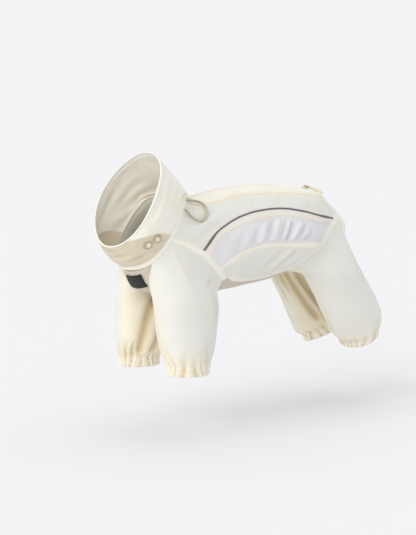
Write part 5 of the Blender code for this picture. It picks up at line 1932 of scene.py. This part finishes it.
class HindLeg(Limb):
    """A hind leg: its seam follows the hip tape, the groin and the rear opening."""

    CORNERS = (48.0, 190.0, 285.0, 408.0)
    COUNTS = (0, 1, 3, 4, 7, 8, 11, 12)
    TAPE = "hip_tape"

    def stretch(self, number: int, shares: Array) -> Array:
        """Places on the body at shares of one stretch of the leg's seam."""
        p = self.tailor.pattern
        if number == 0:
            return p.hip_back.at(np.interp(self.COUNTS[-1] * shares, self.COUNTS, p.HIP_STOPS))
        if number == 1:
            return p.groin.at(shares)
        return p.ring_places(p.REAR, p.REAR_TURNS[6], p.REAR_TURNS[5], shares)


TO_CUFF = (0.6, 0.1)  # the fade of a short fold that runs on under the cuff
FRONT_RINGS = (
    (-150, -34, 42, 47.5, 34, 0, 0), (-181, -36, 45, 43.5, 32, 0, 0), (-201, -38.5, 49, 38, 29.5, 0, 0),
    (-213, -40, 52, 32, 27, 0, 0), (-218.5, -41, 53.5, 29, 25.5, 0, 0),
)
HIND_RINGS = (
    (-118, 257, 38, 55, 31, 0, 0), (-148, 278.5, 38, 52.5, 31.5, 0.1, 0.05),
    (-172, 294, 38.5, 50.5, 32, 0.2, 0.12), (-188, 303.5, 38.5, 48, 31, 0.3, 0.2),
    (-199, 309, 38.5, 43, 30, 0.35, 0.25), (-204.5, 312, 38.5, 34.5, 28, 0.35, 0.25),
)
FRONT_CREASES = {
    Side.LEFT: (
        Crease(((204, -140), (196, -180), (190, -216)), 6, 1.4, 0.4, (0.5, 0.1)),
        Crease(((176, -178), (172, -200), (170, -217)), 4, 1.0, 0.4, TO_CUFF),
        Crease(((118, -186), (126, -204), (130, -217)), 5, 1.1, 0.4, TO_CUFF),
        Crease(((82, -180), (76, -200), (74, -217)), 4.5, 1.3, 0.4, TO_CUFF),
        Crease(((56, -118), (50, -150), (52, -190)), 8, 2.2),
        Crease(((38, -104), (56, -112), (80, -118)), 3.6, 1.1, 0.4, (0.35, 0.6)),
        Crease(((250, -120), (244, -165), (240, -214)), 8, 3.4, 0.4, (0.3, 0.1)),
        Crease(((300, -130), (292, -170), (290, -212)), 8, 3.0, 0.4),
        Crease(((338, -120), (344, -160), (350, -205)), 9, 2.4, 0.4),
    ),
    Side.RIGHT: (
        Crease(((258, -112), (246, -150), (236, -190), (232, -217)), 7, 4.2, 0.45, (0.2, 0.1)),
        Crease(((286, -130), (272, -170), (264, -215)), 6, 3.4, 0.4, (0.3, 0.1)),
        Crease(((206, -188), (200, -204), (197, -217)), 3.4, 1.3, 0.4, TO_CUFF),
        Crease(((222, -186), (217, -203), (214, -217)), 3.4, 1.6, 0.4, TO_CUFF),
        Crease(((178, -190), (172, -206), (168, -217)), 4, 1.2, 0.4, TO_CUFF),
        Crease(((300, -150), (296, -190), (296, -214)), 7, 2.6, 0.4),
        Crease(((56, -118), (50, -150), (52, -190)), 8, 2.0),
        Crease(((96, -186), (102, -204), (104, -217)), 5, 1.2, 0.4, TO_CUFF),
        Crease(((140, -150), (134, -180), (132, -212)), 6, 1.3, 0.4, (0.5, 0.1)),
    ),
}
HIND_SHARED = (
    Crease(((310, -120), (322, -160), (332, -195)), 8, 2.8, 0.4),
    Crease(((20, -120), (14, -160), (10, -195)), 9, 2.2),
    Crease(((96, -112), (92, -150), (92, -186)), 12, 1.2),
)
HIND_CREASES = {
    Side.LEFT: HIND_SHARED + (
        Crease(((212, -96), (222, -130), (232, -170), (240, -200)), 7, 3.0, 0.4, (0.3, 0.1)),
        Crease(((190, -92), (176, -101), (160, -106)), 3.2, 1.2, 0.4, (0.1, 0.6)),
        Crease(((196, -98), (184, -110), (172, -118)), 3.2, 1.1, 0.4, (0.1, 0.6)),
        Crease(((150, -120), (140, -150), (134, -180)), 11, 1.3),
        Crease(((62, -176), (66, -192), (68, -208)), 4.5, 1.3, 0.4, TO_CUFF),
        Crease(((188, -170), (184, -190), (182, -206)), 4.5, 1.2, 0.4, TO_CUFF),
        Crease(((262, -110), (274, -150), (286, -192)), 8, 3.6, 0.4),
    ),
    Side.RIGHT: HIND_SHARED + (
        Crease(((216, -100), (219, -136), (226, -164), (238, -196)), 6, 4.8, 0.5, (0.15, 0.1)),
        Crease(((200, -98), (201, -130), (206, -158)), 5, 3.0, 0.5, (0.2, 0.5)),
        Crease(((187, -100), (185, -136), (190, -172)), 5, 2.0, 0.5, (0.2, 0.4)),
        Crease(((236, -104), (242, -140), (252, -172), (262, -198)), 7, 3.6, 0.4, (0.2, 0.1)),
        Crease(((172, -128), (168, -164), (172, -198)), 6, 1.6, 0.4, (0.5, 0.1)),
        Crease(((270, -110), (282, -150), (292, -190)), 8, 3.0, 0.4),
        Crease(((150, -120), (140, -150), (134, -180)), 10, 1.2),
    ),
}


@dataclass
class Trim:
    """The bare chest label, the closed snaps and the nape cord."""

    tailor: Tailor
    label_backs: tuple[float, float] = (9.0, 29.0)
    label_turns: tuple[float, float] = (160.0, 190.0)
    label_lift: float = 1.7
    label_width: float = 33.0
    label_sewn: float = 1.2
    snap_radius: float = 6.0
    snap_lift: float = 0.9
    snaps: tuple[tuple[float, float], ...] = ((0.28, 112), (0.36, 126))
    cord_diameter: float = 3.2
    cord_route: tuple[tuple[float, float, float], ...] = (
        (-21, 47, 3.2), (-10, 38, 4.0), (4, 33, 4.2), (14, 39, 3.8), (20, 48, 3.4),
        (22.5, 57, 3.4), (21.5, 64.5, 3.4), (14, 66, 3.4), (0, 62.3, 3.4), (-16, 60.5, 3.2),
    )

    def cord(self) -> None:
        """The braided cord that loops out of the neck seam and back into it."""
        t = self.tailor
        route = np.array(self.cord_route, float)
        points, normals = t.on_body(route[:, :2])
        path = smooth_line(points + normals * route[:, 2:], 181, normals)
        line, up = path[:, :3], unit(path[:, 3:])
        tangent = unit(np.gradient(line, axis=0))
        side = unit(np.cross(tangent, up))
        up = np.cross(side, tangent)
        sides = 20
        angle = circle(sides)
        along = arc(line[None], 1)[0][:, None]
        plait = 1 + 0.07 * np.sin(along * 2.1 + 2 * angle[None]) * np.sin(along * 2.1 - 2 * angle[None])
        radius = self.cord_diameter / 2 * plait / 1.035
        ring = side[:, None] * np.cos(angle)[None, :, None] + up[:, None] * np.sin(angle)[None, :, None]
        points = line[:, None] + ring * radius[..., None]
        around = np.append(angle, 2 * np.pi) * self.cord_diameter / 2
        uv = grid_uv(*np.broadcast_arrays(around[None], along))[:, ::-1]
        caps = end_fans(len(line), sides)
        faces = grid_faces(len(line), sides, True)[:, ::-1].tolist() + caps
        flat_uv = np.concatenate([uv.reshape(-1, 2), np.zeros((3 * len(caps), 2))])
        # Painted shade on both sides of the round cord, uneven along it.
        flank_shade = smoothstep((np.abs(np.cos(angle)) - 0.72) / 0.2)[None]
        speckle = 0.55 + 0.45 * np.sin(along * 3.3 + 2.0 * np.sin(along * 0.7))
        mark = np.concatenate([(flank_shade * speckle).ravel(), [0, 0]])
        points = np.concatenate([points.reshape(-1, 3), line[:1], line[-1:]])
        piece = make_object("nape_cord_braid", points, faces, flat_uv, {PAINTED_SHADE_NAME: mark}, 180.0)
        t.room.dress(piece, BRAID, Slot.BRAID, ("nape_cord",))
        tuple(line[0] * MM)
        [tuple(q * MM) for q in line]

    def label(self) -> None:
        """A bare woven patch on the chest, sewn down all round."""
        t = self.tailor
        places = self.label_places(even(24, 0.03)[:, None], even(34, 0.02)[None])
        points, normals = t.on_body(places)
        inside = edge_gap(points, (0, 1))
        groove = 0.3 * np.exp(-(((inside - self.label_sewn) / 0.5) ** 2))
        lift = self.label_lift - groove + waves(points, 0.25, 12.0, 6.0)
        patch = Cloth("chest_label", points, normals, outer=0.4, inner=0.4, lift=lift, soft_edge=0.6)
        t.room.cloth(patch, PATCH, Slot.LABEL, Held.STRETCHED, "chest_panel")
        low, high = (self.label_sewn / size for size in (np.ptp(self.label_backs), self.label_width))
        frame = np.array([(low, high), (low, 1 - high), (1 - low, 1 - high), (1 - low, high), (low, high)])
        step = np.linspace(0, 1, 40)[:, None]
        shares = np.concatenate([start + (end - start) * step for start, end in zip(frame, frame[1:])])
        points, normals = t.on_body(self.label_places(*shares.T))
        t.sew("label_stitches", [points + normals * (self.label_lift + 0.2)], DARK_THREAD, Slot.LABEL, 1.6)

    def label_places(self, down: Array, across: Array) -> Array:
        """Places on the body at shares of the label."""
        (front, rear), (left, right) = self.label_backs, self.label_turns
        return np.stack(np.broadcast_arrays(front + (rear - front) * down, left + (right - left) * across), -1)

    def cap(self, name: str, seat: Array, normal: Array) -> bpy.types.Object:
        """A snap's round cap: a rolled rim, a groove and a low dome with a dimple."""
        profile = np.array([
            (0.0, 1.25), (0.9, 1.35), (1.6, 1.6), (2.2, 1.75), (3.1, 1.7), (3.9, 1.42),
            (4.3, 1.12), (4.6, 1.05), (4.9, 1.2), (5.25, 1.42), (5.65, 1.32), (5.95, 0.95),
            (6.0, 0.5), (5.9, 0.1), (4.0, 0.05), (0.0, 0.05),
        ]) * (self.snap_radius / 6.0, 1.0)
        # Painted shade in the groove round the dome, under the rolled rim and on the underside.
        dark = np.array([0, 0, 0, 0, 0, 0.2, 0.75, 0.95, 0.75, 0.15, 0.35, 0.8, 0.9, 0.9, 0.9, 0.9])
        steps = 48
        angle = circle(steps)
        side = unit(np.cross(normal, np.array([0.0, 0.0, 1.0])))
        up = np.cross(normal, side)
        spoke = side[None] * np.cos(angle)[:, None] + up[None] * np.sin(angle)[:, None]
        rings = profile[1:-1]
        points = seat + rings[:, None, :1] * spoke[None] + rings[:, None, 1:] * normal
        top, low = seat + profile[0, 1] * normal, seat + profile[-1, 1] * normal
        flat = np.concatenate([points.reshape(-1, 3), top[None], low[None]])
        faces = grid_faces(len(rings), steps, True).tolist() + end_fans(len(rings), steps)
        marks = np.concatenate([np.repeat(dark[1:-1], steps), [dark[0], dark[-1]]])
        thing = make_object(name, flat, faces, None, {PAINTED_SHADE_NAME: marks}, 60.0)
        if thing.data.polygons[0].normal.dot(Vector(normal)) < 0:
            thing.data.flip_normals()
        return thing

    def build(self) -> None:
        """Make the label and the snaps."""
        t = self.tailor
        self.label()
        for number, (level, turn) in enumerate(self.snaps, 1):
            for side in Side:
                here = turn if side is Side.LEFT else FULL_TURN - turn
                points, normals = t.on_hood(np.array([[level, here]], float))
                name = f"snap_{number}_{side.value}"
                cap = self.cap(f"{name}_cap", points[0] + normals[0] * self.snap_lift, normals[0])
                t.room.dress(cap, CAP, Slot.SNAP, (name,))


@dataclass
class Studio:
    """Camera, pale floor, soft lights and surroundings."""

    focal_px: float = 1121.5
    yaw: float = 41.06
    pitch: float = 4.684
    eye: tuple[float, float, float] = (-0.984, -1.1751, 0.0299)
    frame_px: int = 535
    sensor: float = 36.0
    floor_height: float = -0.32
    target: tuple[float, float, float] = (0.1, 0.0, -0.08)
    floor_reach: float = 30.0
    floor_tones: tuple[Colour, Colour] = ((241, 241, 243), (238, 238, 241))
    backdrop: Colour = (243, 243, 245)
    fill: tuple[float, float, float, float] = (0.97, 0.98, 1.0, 1.0)
    fill_strength: float = 0.74

    def axes(self) -> tuple[Vector, Vector, Vector]:
        """Right, up and forward of the camera."""
        yaw, pitch = math.radians(self.yaw), math.radians(self.pitch)
        forward = Vector((math.sin(yaw) * math.cos(pitch), math.cos(yaw) * math.cos(pitch), -math.sin(pitch)))
        right = Vector((math.cos(yaw), -math.sin(yaw), 0.0))
        return right, right.cross(forward), forward

    def camera(self) -> None:
        """The camera at the photograph's viewing angle."""
        data = bpy.data.cameras.new("camera")
        data.sensor_width = self.sensor
        data.lens = self.focal_px * self.sensor / self.frame_px
        data.clip_start, data.clip_end = 0.05, 100.0
        camera = linked("camera", data)
        camera.location = self.eye
        camera.rotation_euler = self.axes()[2].to_track_quat("-Z", "Y").to_euler()
        bpy.context.scene.camera = camera

    def light(self, name: str, way: tuple[float, float, float], spread: float, power: float,
              colour: tuple[float, float, float]) -> None:
        """A broad soft light from far away, placed by camera right, up and back."""
        right, up, forward = self.axes()
        data = bpy.data.lights.new(name, "SUN")
        data.angle, data.energy, data.color = math.radians(spread), power, colour
        lamp = linked(name, data)
        toward = (right * way[0] + up * way[1] - forward * way[2]).normalized()
        lamp.location = Vector(self.target) + toward * 2.0
        lamp.rotation_euler = (-toward).to_track_quat("-Z", "Y").to_euler()

    def floor(self) -> None:
        """A wide pale floor."""
        mesh = bpy.data.meshes.new("floor")
        corners = [(x * self.floor_reach, y * self.floor_reach, self.floor_height)
                   for x, y in ((-1, -1), (1, -1), (1, 1), (-1, 1))]
        mesh.from_pydata(corners, [], [(0, 1, 2, 3)])
        surface = Surface("pale_floor")
        slow = surface.graph.noise(1.5, 2.0, surface.place())
        tone = surface.graph.mix(slow * 0.2, *map(linear, self.floor_tones))
        surface.set(Base_Color=tone, Roughness=0.9)
        mesh.materials.append(surface.material)
        linked("floor", mesh)

    def surroundings(self) -> None:
        """A pale even background that also fills the shadows."""
        world = bpy.data.worlds.new("studio")
        world.use_nodes = True
        world.node_tree.nodes.clear()
        graph = Graph(world.node_tree)
        seen = graph.node("ShaderNodeBackground", None, {"Color": linear(self.backdrop), "Strength": 1.0})
        lit = graph.node("ShaderNodeBackground", None, {"Color": self.fill, "Strength": self.fill_strength})
        ray = graph.node("ShaderNodeLightPath").outputs["Is Camera Ray"]
        both = graph.node("ShaderNodeMixShader", None, {0: ray, 1: lit.outputs[0], 2: seen.outputs[0]})
        graph.node("ShaderNodeOutputWorld", None, {"Surface": both.outputs[0]})
        scene = bpy.context.scene
        scene.world = world
        scene.view_settings.view_transform = "Standard"

    def build(self) -> None:
        """Make the studio around the object."""
        self.floor()
        self.surroundings()
        self.light("key", (-0.8, 0.6, 0.95), 50.0, 1.3, (1.0, 0.965, 0.9))
        self.light("top", (0.2, 1.0, -0.25), 90.0, 0.36, (1.0, 0.995, 0.98))


def main() -> None:
    """Build the dressed garment."""
    logging.basicConfig(level=logging.INFO, format="%(message)s")
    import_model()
    studio = Studio()
    studio.camera()
    tailor = Tailor(Pattern(), Workroom())
    trim = Trim(tailor)
    trim.cord()
    BackClosure(tailor).build()
    ZipRunner(tailor).build()
    SidePanels(tailor).build()
    Underside(tailor).build()
    RingTapes(tailor).build()
    HoodPieces(tailor).build()
    Sleeve(tailor, "front_sleeve", "front_cuff", FRONT_RINGS, FRONT_CREASES, 17, 40).build()
    HindLeg(tailor, "hind_leg", "hind_cuff", HIND_RINGS, HIND_CREASES, 18, 70).build()
    trim.build()
    studio.build()


if __name__ == "__main__":
    main()
